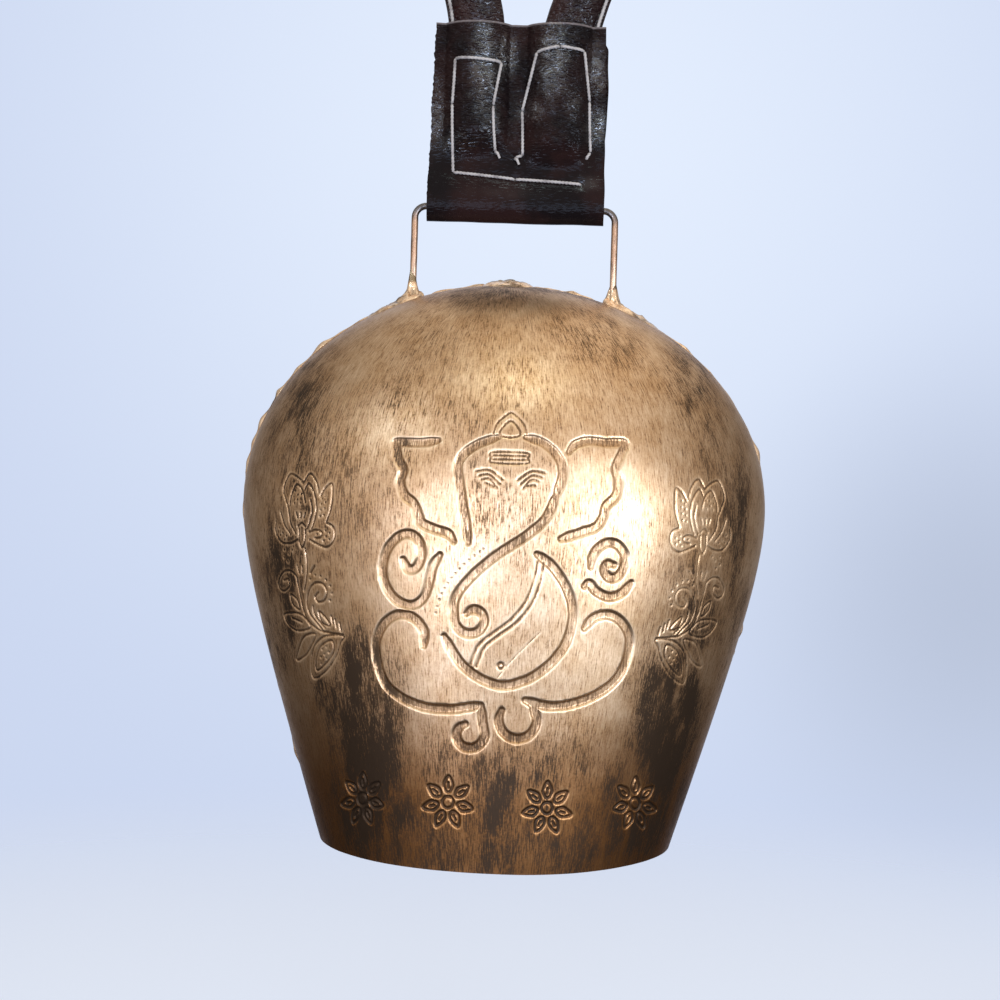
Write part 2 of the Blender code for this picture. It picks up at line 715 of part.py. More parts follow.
def main():
    clear_scene()
    materials = {
        "shell": finish("antique_brass", GOLD_PATINA, 0.42, 1.0),
        "braze": finish("bright_braze", BRIGHT_BRAZE, 0.28, 1.0),
        "bail": finish("coppered_wire", COPPERY_WIRE, 0.40, 1.0),
        "strap": finish("dark_leather", DARK_LEATHER, 0.38, 0.0),
        "tab": finish("dark_tab_leather", LEATHER_EDGE, 0.34, 0.0),
        "thread": finish("waxed_thread", WAXED_THREAD, 0.75, 0.0),
        "iron": finish("clapper_iron", DARK_IRON, 0.50, 1.0),
    }
    bell_axis = joint_axis("bell_swing_axis", (0.0, 0.0, BAR_AXIS_Z))
    link_axis = joint_axis("link_swing_axis", (0.0, 0.0, STAPLE_AXIS_Z), bell_axis)
    clapper_axis = joint_axis("clapper_swing_axis", (0.0, 0.0, LINK_BOTTOM_Z), link_axis)
    build_strap(materials)
    build_bell(materials, bell_axis)
    build_clapper(materials, link_axis, clapper_axis)


main()
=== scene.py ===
# %% [markdown]
# # A strap-hung sheet-metal bell
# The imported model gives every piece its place. This script adds the looks: the pressed line work on the
# front, the brazed seams, the wrinkled leather, the hand stitches and a worn finish on each surface.
# %% Load the frame
import json
import math

import bmesh
import bpy
from mathutils import Matrix, Vector, noise
from mathutils.geometry import interpolate_bezier
from mathutils.kdtree import KDTree


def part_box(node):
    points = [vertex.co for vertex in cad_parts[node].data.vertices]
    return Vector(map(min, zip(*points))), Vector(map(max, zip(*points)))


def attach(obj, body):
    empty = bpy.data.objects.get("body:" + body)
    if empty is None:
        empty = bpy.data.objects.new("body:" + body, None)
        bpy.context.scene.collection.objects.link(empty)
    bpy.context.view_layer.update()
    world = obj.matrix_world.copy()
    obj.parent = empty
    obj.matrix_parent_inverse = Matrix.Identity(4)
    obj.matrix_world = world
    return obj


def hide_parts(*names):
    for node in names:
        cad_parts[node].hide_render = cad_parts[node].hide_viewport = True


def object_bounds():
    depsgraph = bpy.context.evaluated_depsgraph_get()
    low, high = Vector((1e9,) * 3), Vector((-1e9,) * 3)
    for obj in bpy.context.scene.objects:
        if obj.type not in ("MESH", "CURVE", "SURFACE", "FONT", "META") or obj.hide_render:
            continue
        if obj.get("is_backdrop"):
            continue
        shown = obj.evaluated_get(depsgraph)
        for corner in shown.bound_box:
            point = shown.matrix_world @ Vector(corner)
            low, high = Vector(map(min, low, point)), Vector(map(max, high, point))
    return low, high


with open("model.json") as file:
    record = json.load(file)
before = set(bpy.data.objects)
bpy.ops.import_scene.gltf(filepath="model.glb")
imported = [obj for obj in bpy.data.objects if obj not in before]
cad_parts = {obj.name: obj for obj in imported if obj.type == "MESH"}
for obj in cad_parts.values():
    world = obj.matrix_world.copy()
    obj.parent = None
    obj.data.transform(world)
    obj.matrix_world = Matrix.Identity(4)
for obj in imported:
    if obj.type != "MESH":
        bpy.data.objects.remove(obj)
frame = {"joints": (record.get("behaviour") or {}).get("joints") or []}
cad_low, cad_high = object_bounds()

MM = 0.001

# %% [markdown]
# ## Places that the frame gives
# The shell's box holds its widest and deepest points, and the joints hold the axes. The rise of the dome
# and the roundings are the design's own numbers.
# %% Read the main levels
shell_low, shell_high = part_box("front_shell")
tab_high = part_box("leather_tab")[1]
pivots = {joint["name"]: Vector(joint["pos_m"]) for joint in frame["joints"]}
BAR_Z = pivots["bell_swing"].z
SHELL_HALF_WIDTH = shell_high.x
SEAM_HALF_GAP = -shell_high.y
SHELL_HALF_DEPTH = -shell_low.y - SEAM_HALF_GAP
CROWN_Z = shell_high.z
MOUTH_Z = shell_low.z
DOME_RISE = 78.7 * MM
WIDEST_Z = CROWN_Z - DOME_RISE
SKIRT = WIDEST_Z - MOUTH_Z
MOUTH_HALF_WIDTH = 62.6 * MM
MOUTH_HALF_DEPTH = 54.0 * MM
FLARE_ROUNDING = 28.8 * MM
WALL = 1.2 * MM
WIRE_RADIUS = 1.25 * MM
HEART = Vector((0.0, 0.0, WIDEST_Z))
BACKWARD = Vector((0.0, 1.0, 0.0))
print("bell", round(2 * SHELL_HALF_WIDTH / MM), "mm wide,", round((CROWN_Z - MOUTH_Z) / MM), "mm tall")

# %% [markdown]
# ## Camera
# The camera stands level with the widest part of the bell, about half a metre away, and is rolled a little,
# because the bell hangs slightly askew on its strap.
# %% Make the camera
EYE = Vector((-1.6 * MM, -540.0 * MM, WIDEST_Z + 1.8 * MM))
camera_data = bpy.data.cameras.new("camera")
camera_data.sensor_width = 36.0
camera_data.lens = 54.0
camera = bpy.data.objects.new("camera", camera_data)
bpy.context.scene.collection.objects.link(camera)
camera.location = EYE
camera.rotation_euler = (math.radians(90.0), math.radians(-1.7), 0.0)
bpy.context.scene.camera = camera
print("camera at", [round(value, 3) for value in EYE])

# %% [markdown]
# ## Helpers for meshes
# Most pieces here are tubes or curved sheets. One helper lays out a grid with the grid operator and moves
# its corners, one merges the corners that meet and closes the ends, and one hangs the finished piece on its
# body.
# %% Mesh helpers


def sheet(bm, columns, rows, place):
    """Adds a grid of quads and moves its corner (i, j) to place(i, j)."""
    corners = bmesh.ops.create_grid(bm, x_segments=columns, y_segments=rows, size=0.5)["verts"]
    for index, corner in enumerate(corners):
        corner.co = place(index % (columns + 1), index // (columns + 1))
    return corners


def close_up(bm):
    """Joins corners that meet, fills what is left open and turns the faces out."""
    bmesh.ops.remove_doubles(bm, verts=bm.verts, dist=1e-7)
    bmesh.ops.holes_fill(bm, edges=bm.edges, sides=0)
    bmesh.ops.recalc_face_normals(bm, faces=bm.faces)


def bridged(bm):
    """Joins corners that meet, joins the two open rims and turns the faces out."""
    bmesh.ops.remove_doubles(bm, verts=bm.verts, dist=1e-7)
    bmesh.ops.bridge_loops(bm, edges=[edge for edge in bm.edges if edge.is_boundary])
    bmesh.ops.recalc_face_normals(bm, faces=bm.faces)


def finished(bm, name, body, nodes, material, sharp=40.0):
    """Makes the object, shades it, hangs it on its body and hides the CAD nodes it stands for."""
    mesh = bpy.data.meshes.new(name)
    bm.to_mesh(mesh)
    bm.free()
    mesh.shade_smooth()
    mesh.set_sharp_from_angle(angle=math.radians(sharp))
    mesh.materials.append(material)
    piece = bpy.data.objects.new(name, mesh)
    bpy.context.scene.collection.objects.link(piece)
    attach(piece, body)
    if nodes:
        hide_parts(*nodes)
    print(name, len(mesh.polygons), "faces")
    return piece


def smooth(value):
    """0 below 0, 1 above 1, and an even S between."""
    value = min(max(value, 0.0), 1.0)
    return value * value * (3.0 - 2.0 * value)


def mix(low, high, share):
    return low + (high - low) * share


def hump(value, width):
    """1 at 0, falling smoothly to nothing on both sides."""
    return math.exp(-((value / width) ** 2))


def around_at(index, count):
    """The angle of one of `count` even steps round a circle."""
    return 2.0 * math.pi * index / count


def strongest(ovals, x, z, falloff):
    """The strongest of some soft ovals at a spot; each is a centre, two half sizes and a strength."""
    return max(
        strength * math.exp(-falloff * (((x - middle_x) / half_x) ** 2 + ((z - middle_z) / half_z) ** 2))
        for middle_x, middle_z, half_x, half_z, strength in ovals
    )


def bumpy(point, fineness, seed=0.0):
    """Smooth noise between -1 and 1; fineness is in waves per metre."""
    return noise.noise(Vector(point) * fineness + Vector((seed, 1.7 * seed, 0.3 * seed)))


def sweep(line, section, around):
    """Sweeps a section along a line of (place, side, up) frames; section(i, j) gives its two offsets."""
    bm = bmesh.new()

    def place(i, j):
        point, side, up = line[j]
        across, rise = section(i % around, j)
        return point + side * across + up * rise

    sheet(bm, around, len(line) - 1, place)
    close_up(bm)
    return bm


def carried_frames(points, first_side):
    """Frames along a path whose side direction is carried on without turning round the path."""
    line = []
    side = first_side
    for index, point in enumerate(points):
        ahead = points[min(index + 1, len(points) - 1)]
        behind = points[max(index - 1, 0)]
        along = (ahead - behind).normalized()
        side = (side - along * side.dot(along)).normalized()
        line.append((point, side, along.cross(side)))
    return line


# %% [markdown]
# ## Helpers for materials
# A finish is a node tree. These helpers add a node, set its values, and link any value that is already a
# socket, so that a finish reads from top to bottom like a recipe.
# %% Node helpers


def feed(tree, socket, value):
    """Links a value that is itself a socket; sets any other."""
    if isinstance(value, bpy.types.NodeSocket):
        tree.links.new(value, socket)
    else:
        socket.default_value = value


def put(tree, made, **inputs):
    """Feeds inputs, matched by name (underscores for spaces) or, as in0, in1, by number."""
    for key, value in inputs.items():
        number = key[2:] if key.startswith("in") else ""
        socket = made.inputs[int(number) if number.isdigit() else key.replace("_", " ")]
        feed(tree, socket, value)


def node(tree, kind, settings=None, **inputs):
    made = tree.nodes.new(kind)
    for key, value in (settings or {}).items():
        setattr(made, key, value)
    put(tree, made, **inputs)
    return made


def blended(tree, factor, low, high, way="MIX"):
    """A colour between two colours."""
    made = node(tree, "ShaderNodeMix", {"data_type": "RGBA", "blend_type": way}, in0=factor)
    for socket, colour in zip(made.inputs[6:8], (low, high)):
        feed(tree, socket, colour if isinstance(colour, bpy.types.NodeSocket) else (*colour, 1.0))
    return made.outputs[2]


def maths(tree, operation, first, second=0.0):
    return node(tree, "ShaderNodeMath", {"operation": operation}, in0=first, in1=second).outputs[0]


def weighted(tree, *parts):
    """Adds up (value, weight) pairs."""
    total = None
    for value, weight in parts:
        part = maths(tree, "MULTIPLY", value, weight)
        total = part if total is None else maths(tree, "ADD", total, part)
    return total


def ramp(tree, value, start, end, low=0.0, high=1.0):
    """Stretches a value from start..end to low..high and holds it at the ends."""
    made = node(tree, "ShaderNodeMapRange", {"interpolation_type": "SMOOTHSTEP"}, in0=value)
    put(tree, made, in1=start, in2=end, in3=low, in4=high)
    return made.outputs[0]


def new_material(name):
    material = bpy.data.materials.new(name)
    material.use_nodes = True
    tree = material.node_tree
    return material, tree, tree.nodes["Principled BSDF"]


def stored(tree, name, output="Fac"):
    """A value that the mesh stores on its corners."""
    return node(tree, "ShaderNodeAttribute", {"attribute_name": name}).outputs[output]


def own_place(tree):
    """The object's own coordinates, and the height among them."""
    place = node(tree, "ShaderNodeTexCoord").outputs["Object"]
    return place, node(tree, "ShaderNodeSeparateXYZ", Vector=place).outputs[2]


def grains(tree, place, fineness, detail):
    """Plain noise."""
    return node(tree, "ShaderNodeTexNoise", Vector=place, Scale=fineness, Detail=detail).outputs[0]


def bumped(tree, height, strength, distance):
    """A normal that follows a height."""
    made = node(tree, "ShaderNodeBump", Strength=strength, Distance=distance, Height=height)
    return made.outputs[0]


def new_group(name, values, outputs):
    """A node group with a vector, some numbers and some outputs."""
    group = bpy.data.node_groups.new(name, "ShaderNodeTree")
    group.interface.new_socket(name="Vector", in_out="INPUT", socket_type="NodeSocketVector")
    for key, value in values.items():
        socket = group.interface.new_socket(name=key, in_out="INPUT", socket_type="NodeSocketFloat")
        socket.default_value = value
    for key in outputs:
        group.interface.new_socket(name=key, in_out="OUTPUT", socket_type="NodeSocketFloat")
    entry = group.nodes.new("NodeGroupInput")
    leave = group.nodes.new("NodeGroupOutput")
    return group, entry.outputs, leave.inputs


def use_group(tree, group, **inputs):
    return node(tree, "ShaderNodeGroup", {"node_tree": group}, **inputs).outputs


# %% [markdown]
# ## Brush streaks
# The metal was rubbed up and down, so its scratches and the dark stain left in them are long and upright.
# Noise that is squeezed along the height gives such streaks. The brass and the wire use the same group.
# %% Streak group
streaks, entry, leave = new_group("upright_streaks", {"Fineness": 900.0, "Stretch": 12.0}, ["Mask"])
tall = maths(streaks, "DIVIDE", entry["Fineness"], entry["Stretch"])
squeeze = node(streaks, "ShaderNodeCombineXYZ", in0=entry["Fineness"], in1=entry["Fineness"], in2=tall)
squeezed = node(streaks, "ShaderNodeVectorMath", {"operation": "MULTIPLY"}, in0=entry["Vector"])
put(streaks, squeezed, in1=squeeze.outputs[0])
long_noise = node(streaks, "ShaderNodeTexNoise", Vector=squeezed.outputs[0], Scale=1.0, Detail=5.0)
put(streaks, long_noise, Roughness=0.62)
streaks.links.new(long_noise.outputs[0], leave["Mask"])
print("group", streaks.name)

# %% [markdown]
# ## Blotches
# Stain, rubbing and grease come in soft patches of one size. This group is plain noise with a chosen edge.
# %% Blotch group
BLOTCH_VALUES = {"Fineness": 30.0, "Start": 0.4, "End": 0.6}
blotches, entry, leave = new_group("soft_blotches", BLOTCH_VALUES, ["Mask"])
soft_noise = node(blotches, "ShaderNodeTexNoise", Vector=entry["Vector"], Scale=entry["Fineness"])
put(blotches, soft_noise, Detail=4.0, Roughness=0.6)
blotch_mask = ramp(blotches, soft_noise.outputs[0], entry["Start"], entry["End"])
blotches.links.new(blotch_mask, leave["Mask"])


def patchy(tree, place, fineness, start, end):
    """A mask of soft blotches."""
    return use_group(tree, blotches, Vector=place, Fineness=fineness, Start=start, End=end)[0]


print("group", blotches.name)

# %% [markdown]
# ## Leather grain
# Leather grain is a net of fine creases round small pads. The distance to the nearest cell edges of a
# Voronoi pattern, bent by noise, gives that net. Height feeds a bump, and Crease is 1 in the creases.
# %% Grain group
GRAIN_BEND = 0.0016
PAD_EDGE = 0.42
grain, entry, leave = new_group("leather_grain", {"Fineness": 1300.0}, ["Height", "Crease"])
wander = node(grain, "ShaderNodeTexNoise", Vector=entry["Vector"], Scale=260.0, Detail=2.0)
bent = node(grain, "ShaderNodeMix", {"data_type": "VECTOR"}, in0=GRAIN_BEND, in4=entry["Vector"])
put(grain, bent, in5=wander.outputs["Color"])
cells = node(grain, "ShaderNodeTexVoronoi", {"feature": "DISTANCE_TO_EDGE"}, Vector=bent.outputs[1])
put(grain, cells, Scale=entry["Fineness"])
pad = ramp(grain, cells.outputs[0], 0.0, PAD_EDGE)
grain.links.new(pad, leave["Height"])
grain.links.new(maths(grain, "SUBTRACT", 1.0, pad), leave["Crease"])
print("group", grain.name)

# %% [markdown]
# ## Antique brass
# The sheet is brass-coloured metal with a dark stain rubbed back by hand. Gold stays where the cloth
# reached; the stain stays in fine upright scratches, in patches and in the pressed lines. Three numbers are
# stored on each corner of the mesh: "pressed" in the lines, "rubbed" on their rims and "stain_and_shade" in
# the large dark patches, which are partly stain and partly painted shade. A fourth value, "brush", is a
# place laid out flat: the angle round the bell and the way down from the crown. Streaks drawn in it run down
# the dome like the strokes of the cloth. The finish only reads them.
# %% Brass material
STAIN_EDGES = (0.622, 0.700)
HAZE_EDGES = (0.47, 0.70)
HAZE_TINT = (0.62, 0.50, 0.40)
# Towards the mouth the metal turns darker and more orange: the orange is the metal's own tone, the darkening
# is painted shade for the dark ground that the skirt faces.
SKIRT_TINT = (0.36, 0.17, 0.058)
SKIRT_TINT_START = WIDEST_Z - 55.0 * MM
SKIRT_TINT_FULL = WIDEST_Z - 100.0 * MM


def metal_finish(name, bright, warm, stain, cover):
    """Stained and rubbed metal with painted shade in the dark patches; cover moves the balance from bare
    metal towards stain.
    """
    material, tree, shader = new_material(name)
    place, height = own_place(tree)
    brush = stored(tree, "brush", "Vector")
    fine, dashes, broad = (
        use_group(tree, streaks, Vector=brush, Fineness=fineness, Stretch=stretch)[0]
        for fineness, stretch in ((4200.0, 14.0), (2100.0, 10.0), (760.0, 8.0))
    )
    grit = grains(tree, place, 1500.0, 3.0)
    patches = patchy(tree, place, 34.0, 0.36, 0.66)
    clouds = patchy(tree, place, 85.0, 0.3, 0.72)
    pressed, rubbed, stain_and_shade = (stored(tree, value) for value in ("pressed", "rubbed", "stain_and_shade"))
    texture = weighted(tree, (fine, 0.42), (dashes, 0.38), (broad, 0.16), (grit, 0.14))
    # The dark patches are partly stain and partly painted shade; they deepen the stain colour.
    lift = weighted(tree, (patches, 0.035), (clouds, 0.03), (stain_and_shade, 0.23), (pressed, 0.17), (rubbed, -0.12))
    depth = maths(tree, "ADD", texture, lift)
    dark, haze = (ramp(tree, depth, start - cover, end - cover) for start, end in (STAIN_EDGES, HAZE_EDGES))
    # Painted shade with an orange tone, darker towards the mouth.
    low = ramp(tree, height, SKIRT_TINT_START, SKIRT_TINT_FULL, 0.0, 0.90)
    metal = blended(tree, low, blended(tree, clouds, bright, warm), SKIRT_TINT)
    metal = blended(tree, haze, metal, HAZE_TINT, "MULTIPLY")
    strength = ramp(tree, stain_and_shade, 0.0, 0.55, 0.62, 0.97)
    colour = blended(tree, maths(tree, "MULTIPLY", dark, strength), metal, stain)
    rough = weighted(tree, (ramp(tree, fine, 0.3, 0.7, 0.33, 0.46), 1.0), (dark, 0.16))
    normal = bumped(tree, weighted(tree, (texture, 1.1), (dark, -0.2)), 0.45, 0.00016)
    metallic = ramp(tree, dark, 0.0, 1.0, 1.0, 0.92)
    put(tree, shader, Base_Color=colour, Roughness=rough, Metallic=metallic, Normal=normal)
    return material


# The stain colours also paint the shade in the dark patches.
BRASS, WARM_BRASS, BRASS_STAIN_AND_SHADE = (0.74, 0.53, 0.34), (0.66, 0.44, 0.25), (0.050, 0.031, 0.019)
INSIDE, WARM_INSIDE, INSIDE_STAIN_AND_SHADE = (0.26, 0.17, 0.10), (0.20, 0.11, 0.06), (0.03, 0.02, 0.015)
brass = metal_finish("antique_brass", BRASS, WARM_BRASS, BRASS_STAIN_AND_SHADE, 0.0)
inside_brass = metal_finish("unrubbed_inside", INSIDE, WARM_INSIDE, INSIDE_STAIN_AND_SHADE, 0.05)
print("materials", brass.name, inside_brass.name)

# %% [markdown]
# ## The line work
# The front carries a traditional seated figure with an elephant's head, two lotus sprays and four small
# star flowers, all pressed into the sheet. The drawing is flat, in millimetres across and up from the
# middle of the widest level, as someone standing at the camera sees it. Each line is a few points with a
# smooth curve through them. It is drawn afresh for this model from plain curves and spirals.
# %% Drawing helpers


def flow(points, closed=False, step=0.14):
    """A smooth curve through points, sampled at a fine step, in millimetres."""
    count = len(points)
    curve = []
    for index in range(count if closed else count - 1):
        spots = [index + offset for offset in (-1, 0, 1, 2)]
        spots = [spot % count if closed else min(max(spot, 0), count - 1) for spot in spots]
        before, start, end, after = (Vector(points[spot]) for spot in spots)
        steps = max(2, math.ceil((end - start).length / step))
        leave = start + (end - before) / 6.0
        arrive = end - (after - start) / 6.0
        handles = [place.to_3d() for place in (start, leave, arrive, end)]
        curve += interpolate_bezier(*handles, steps + 1)[:-1]
    curve.append(Vector(points[0] if closed else points[-1]).to_3d())
    return [(point.x, point.y) for point in curve]


def spiral(x, z, start_radius, end_radius, start, end, points=12):
    """Points on a spiral round (x, z); angles in degrees from +X towards +Z."""
    made = []
    for index in range(points):
        share = index / (points - 1)
        angle = math.radians(mix(start, end, share))
        radius = mix(start_radius, end_radius, share)
        made.append((x + radius * math.cos(angle), z + radius * math.sin(angle)))
    return made


RIGHT_ASIDE = 0.6
RIGHT_LIFT = 2.0


def mirrored(points):
    """The left spray turned over to the right; that one sits a little nearer and higher."""
    return [(-RIGHT_ASIDE - x, z + RIGHT_LIFT) for x, z in points]


# %% [markdown]
# The wide lines are channels about three millimetres across, made with a blunt tool. They draw the figure's
# head, ears, trunk, arms, belly and folded legs.
# %% Wide lines of the figure
head_side = [
    (-3, 24.4), (-9.5, 22), (-14.5, 18.5), (-17, 14), (-16.4, 8), (-15, 0), (-13.6, -7), (-12.6, -14),
]
brow = [(7, 24.6), (12, 23.4), (16.5, 20.6), (20, 16), (20.6, 11), (18.6, 4)]
trunk = [
    (18.6, 4), (15, -4.5), (8, -11), (-2, -18), (-11, -26), (-16.6, -34), (-16.8, -41),
] + spiral(-10.4, -41.2, 6.2, 2.6, 205, 500, 10)
left_ear = [
    (-24.5, 22.6), (-31, 21.6), (-38.5, 21.6), (-39.6, 20.8), (-38.6, 15.5), (-36.6, 11.6), (-37.6, 7.4),
    (-36, 2.6), (-32.6, -0.4), (-30.8, -4.6), (-29.4, -7.4), (-24.6, -9.4), (-20, -10.8), (-17.8, -13.6),
]
right_ear = [
    (22.8, 19.6), (25, 22.6), (29.5, 24), (36, 23.6), (42.6, 23.6), (42.2, 20.6), (39.8, 14.6), (40.8, 10),
    (40.2, 4.6), (36.8, 0.8), (35.6, -3.4), (33.4, -6.8), (28, -9), (20.6, -11.6),
]
left_arm = [
    (-22.6, -18.6), (-25, -22.6), (-26.2, -28), (-28, -34), (-32, -37), (-37.4, -35.6), (-41.4, -31),
    (-43, -24.6), (-41.6, -17.2), (-37.6, -12.4), (-33, -11.6), (-30, -14.6), (-29.4, -19.6),
    (-31.2, -23.6), (-34, -24), (-35.8, -20.6),
]
right_hand = [
    (31.8, -21.4), (32.4, -17.6), (34.6, -14.2), (38.2, -12.4), (41.8, -13.6), (44, -17.2), (43.4, -21.6),
    (41.2, -24.8), (38.4, -24.9), (36.7, -22.4), (37.9, -20), (40.2, -20.4),
]
right_forearm = [
    (29.6, -28.4), (31.2, -27.2), (34, -30), (38.6, -32), (43.2, -30.4), (46.4, -26.6),
]
belly = [
    (12.2, -17.4), (17.4, -21), (22.4, -27.6), (25.4, -35), (25.6, -42), (23.2, -50), (17.8, -57),
    (10.4, -62.4), (1.6, -65), (-6.6, -62.8), (-13.4, -58), (-17.8, -52), (-20.2, -47.8),
]
left_leg = [
    (-27.4, -51.4), (-27.6, -46), (-31.6, -41.4), (-37, -40.6), (-41.8, -43.8), (-44.4, -50),
    (-43.8, -57.6), (-40.6, -65.6), (-34.4, -70.6), (-26, -73.6), (-16, -74), (-6.4, -72.2),
]
left_foot = [(-6.2, -72.4), (-5.6, -78)] + spiral(-10.4, -82.8, 6, 3.8, 30, -250, 9)
right_leg = [
    (30.2, -43.6), (33.4, -39.8), (38.6, -38.4), (43.4, -40.8), (46.4, -46.4), (45.6, -54.4), (42, -61.6),
    (35.6, -67), (27.4, -70.6), (18.4, -72), (9.6, -70),
]
right_foot = [(9.6, -70.2), (12.6, -71.6)] + spiral(7, -77.2, 7, 6.6, 30, -210, 9)
wide_lines = [flow(line) for line in (
    head_side, brow, trunk, left_ear, right_ear, left_arm, right_hand, right_forearm, belly,
    left_leg, left_foot, right_leg, right_foot,
)]
print("wide lines:", len(wide_lines))

# %% [markdown]
# Finer lines, about a millimetre across, draw the small crown, the forehead mark, the eyes and the sash.
# %% Fine lines of the figure
crown = [(-4.6, 25.6), (-3.4, 29.4), (0, 32.6), (1.5, 33.4), (3, 32.6), (6.2, 29.4), (7.4, 25.6)]
crown_gem = [(-2, 25.2), (-1.8, 27.4), (1.5, 30.4), (4.6, 27.4), (4.8, 25.2), (1.5, 24.4)]
forehead_mark = [(-4.6, 19), (7.4, 19), (8, 17.2), (7.4, 15.2), (-4.6, 15.2), (-5.2, 17.2)]
sash = [(12.6, -19.6), (11.4, -27), (8.4, -35), (3.4, -41.4), (-3, -46.4), (-8, -51), (-10.6, -57.6)]
fine_lines = [flow(line) for line in (crown, sash, [(x + 2.2, z - 0.8) for x, z in sash])]
fine_lines += [flow(line, closed=True) for line in (crown_gem, forehead_mark)]
fine_lines += [flow([(-4.4, height), (7.2, height)]) for height in (16.5, 17.9)]
fine_lines.append(flow(spiral(0.4, -58, 1, 1, 0, 360, 7)))
for middle, lean in ((-5.6, 1), (9.4, -1)):
    for rise, reach in ((12.4, 4.8), (10.8, 3.8), (9.4, 2.8)):
        inner_z, outer_z = rise - 1.8 + 1.4 * lean, rise - 1.8 - 1.4 * lean
        fine_lines.append(flow([(middle - reach, inner_z), (middle, rise), (middle + reach, outer_z)]))
    fine_lines.append(flow([(middle - 1.6, 7.6 + 0.4 * lean), (middle + 1.6, 7 - 0.4 * lean)]))
scratch = flow([(14, -45.6), (5, -55), (-1, -62.6)])
print("fine lines:", len(fine_lines))

# %% [markdown]
# Each lotus spray is a bloom with pointed petals on a stem that curls left and right between small leaves
# and rows of dots. The right spray is the left one turned over.
# %% Lotus bloom
left_petal = [
    (-74.6, -12.6), (-76.8, -8.6), (-77.6, -3.8), (-78.7, -0.5), (-79.6, 3.4), (-77.6, 8.7), (-74.8, 8),
    (-72.7, 5.9),
]
middle_petal = [(-72.6, 5.8), (-70.3, 9.3), (-67.9, 6.6), (-66.8, 2.6)]
right_petal = [(-66.2, 1.2), (-64.5, 4.4), (-62.2, 5.8), (-61.9, 1), (-62.4, -3.2), (-63.8, -8)]
low_right_petal = [
    (-63.6, -8.4), (-61.3, -9.8), (-60.6, -12.7), (-61.8, -15.9), (-64, -17.1), (-67, -16), (-69.6, -14.6),
]
low_left_petal = [(-81.9, -8.4), (-82, -11.8), (-79.7, -15.6), (-76.4, -16), (-74, -14.6)]
far_fold = [(-80.4, -5), (-78.9, -9.4), (-76.6, -12.8)]
left_inner_petal = [(-77.2, -2.4), (-76.8, 1.2), (-75, 5.2), (-72.8, 3.2), (-71.6, -1.2)]
right_inner_petal = [
    (-72, 3.4), (-70.6, 5.7), (-68.6, 2.6), (-67.5, -2.3), (-67.9, -6.4), (-69.2, -11),
]
middle_fold = [(-69.7, -0.2), (-69, -3.8), (-69.8, -7.9), (-70.6, -10.6)]
near_fold = [(-70, -11.8), (-67.5, -11), (-65.4, -11.8), (-65.8, -13.6), (-67.8, -14)]
heart_arch = [(-74, -9.8), (-72.7, -8.6), (-71.4, -9.8)]
sepal = [(-73.5, -10.8), (-73.4, -15), (-72.3, -17.4), (-71.4, -15.2), (-71.3, -11)]
spray = [flow(line) for line in (
    left_petal, middle_petal, right_petal, low_right_petal, low_left_petal, far_fold, left_inner_petal,
    right_inner_petal, middle_fold, near_fold, heart_arch, sepal,
)]
for x, lean in ((-74.2, -0.5), (-73.1, 0), (-72, 0.5)):
    spray.append(flow([(x, -6.8), (x + lean, -5)]))
print("bloom lines:", len(spray))

# %% [markdown]
# The stem curls left and right below the bloom, with leaves, short hairs and small dots beside it.
# %% Stem, leaves and dots
stem = [(-71.2, -17.8), (-70.6, -21.2), (-70.3, -26.6), (-71, -33)]
left_curl = [
    (-71.5, -38.6), (-72.3, -35), (-73.3, -31), (-74, -27.9), (-76, -26), (-78.4, -26.2), (-80.1, -29),
    (-80, -32), (-78.2, -33.2), (-76.4, -31.4), (-76.8, -29), (-78.4, -29.4),
]
right_curl = [
    (-64.2, -46.8), (-66.4, -44.2), (-68.7, -41.4), (-69.9, -37.5), (-69.4, -33), (-67.3, -30.2),
    (-64.5, -30.4), (-62.9, -33.1), (-63.7, -36.2), (-65.9, -36.9), (-67, -35.1), (-65.9, -33.5),
]
low_stem = [(-67.7, -38.4), (-67.4, -40.6), (-66.2, -42.8), (-63.2, -46.2)]
tail = [(-71.5, -38.6), (-69.4, -43.6), (-65.4, -46.9), (-61.3, -47.9), (-56.6, -48.4)]
leaf_vein = [(-75, -42.8), (-71.4, -44.4)]
small_leaf = [(-75.8, -34.4), (-73.4, -36.4), (-72.4, -39.8), (-74.8, -38)]
side_leaf = [
    (-77.9, -41.6), (-73.8, -41), (-70.6, -42.6), (-68.4, -46.2), (-73, -47.4), (-76.5, -45),
]
near_leaf = [(-65.6, -40.4), (-63.2, -42.4), (-61.4, -45.2), (-64.2, -44.4)]
long_leaf = [
    (-66.4, -48.6), (-70.2, -49.2), (-72.1, -52.8), (-73, -57.8), (-70, -56.4), (-68.2, -53.6),
]
bead_leaf = [
    (-56.6, -48.8), (-62.6, -49), (-66.3, -52.2), (-67.6, -57.3), (-66.7, -64.1), (-62.3, -61.6),
    (-59, -56.6), (-57.6, -51.8),
]
bead_core = [
    (-60.6, -50.6), (-64.4, -52.9), (-65.8, -57.1), (-65.6, -61.4), (-62.4, -59), (-59.8, -54.6),
]
spray += [flow(line) for line in (stem, left_curl, right_curl, low_stem, tail, leaf_vein)]
leaves = (small_leaf, side_leaf, near_leaf, long_leaf, bead_leaf, bead_core)
spray += [flow(line, closed=True) for line in leaves]
for x, lean in ((-73, -0.8), (-71.8, -0.2), (-69, 1.4)):
    spray.append(flow([(x, -26.6), (x + lean, -24)]))
for x, z in ((-61, -41.8), (-59.6, -43), (-58, -44.2)):
    spray.append(flow([(x, z), (x + 0.6, z - 2.8)]))
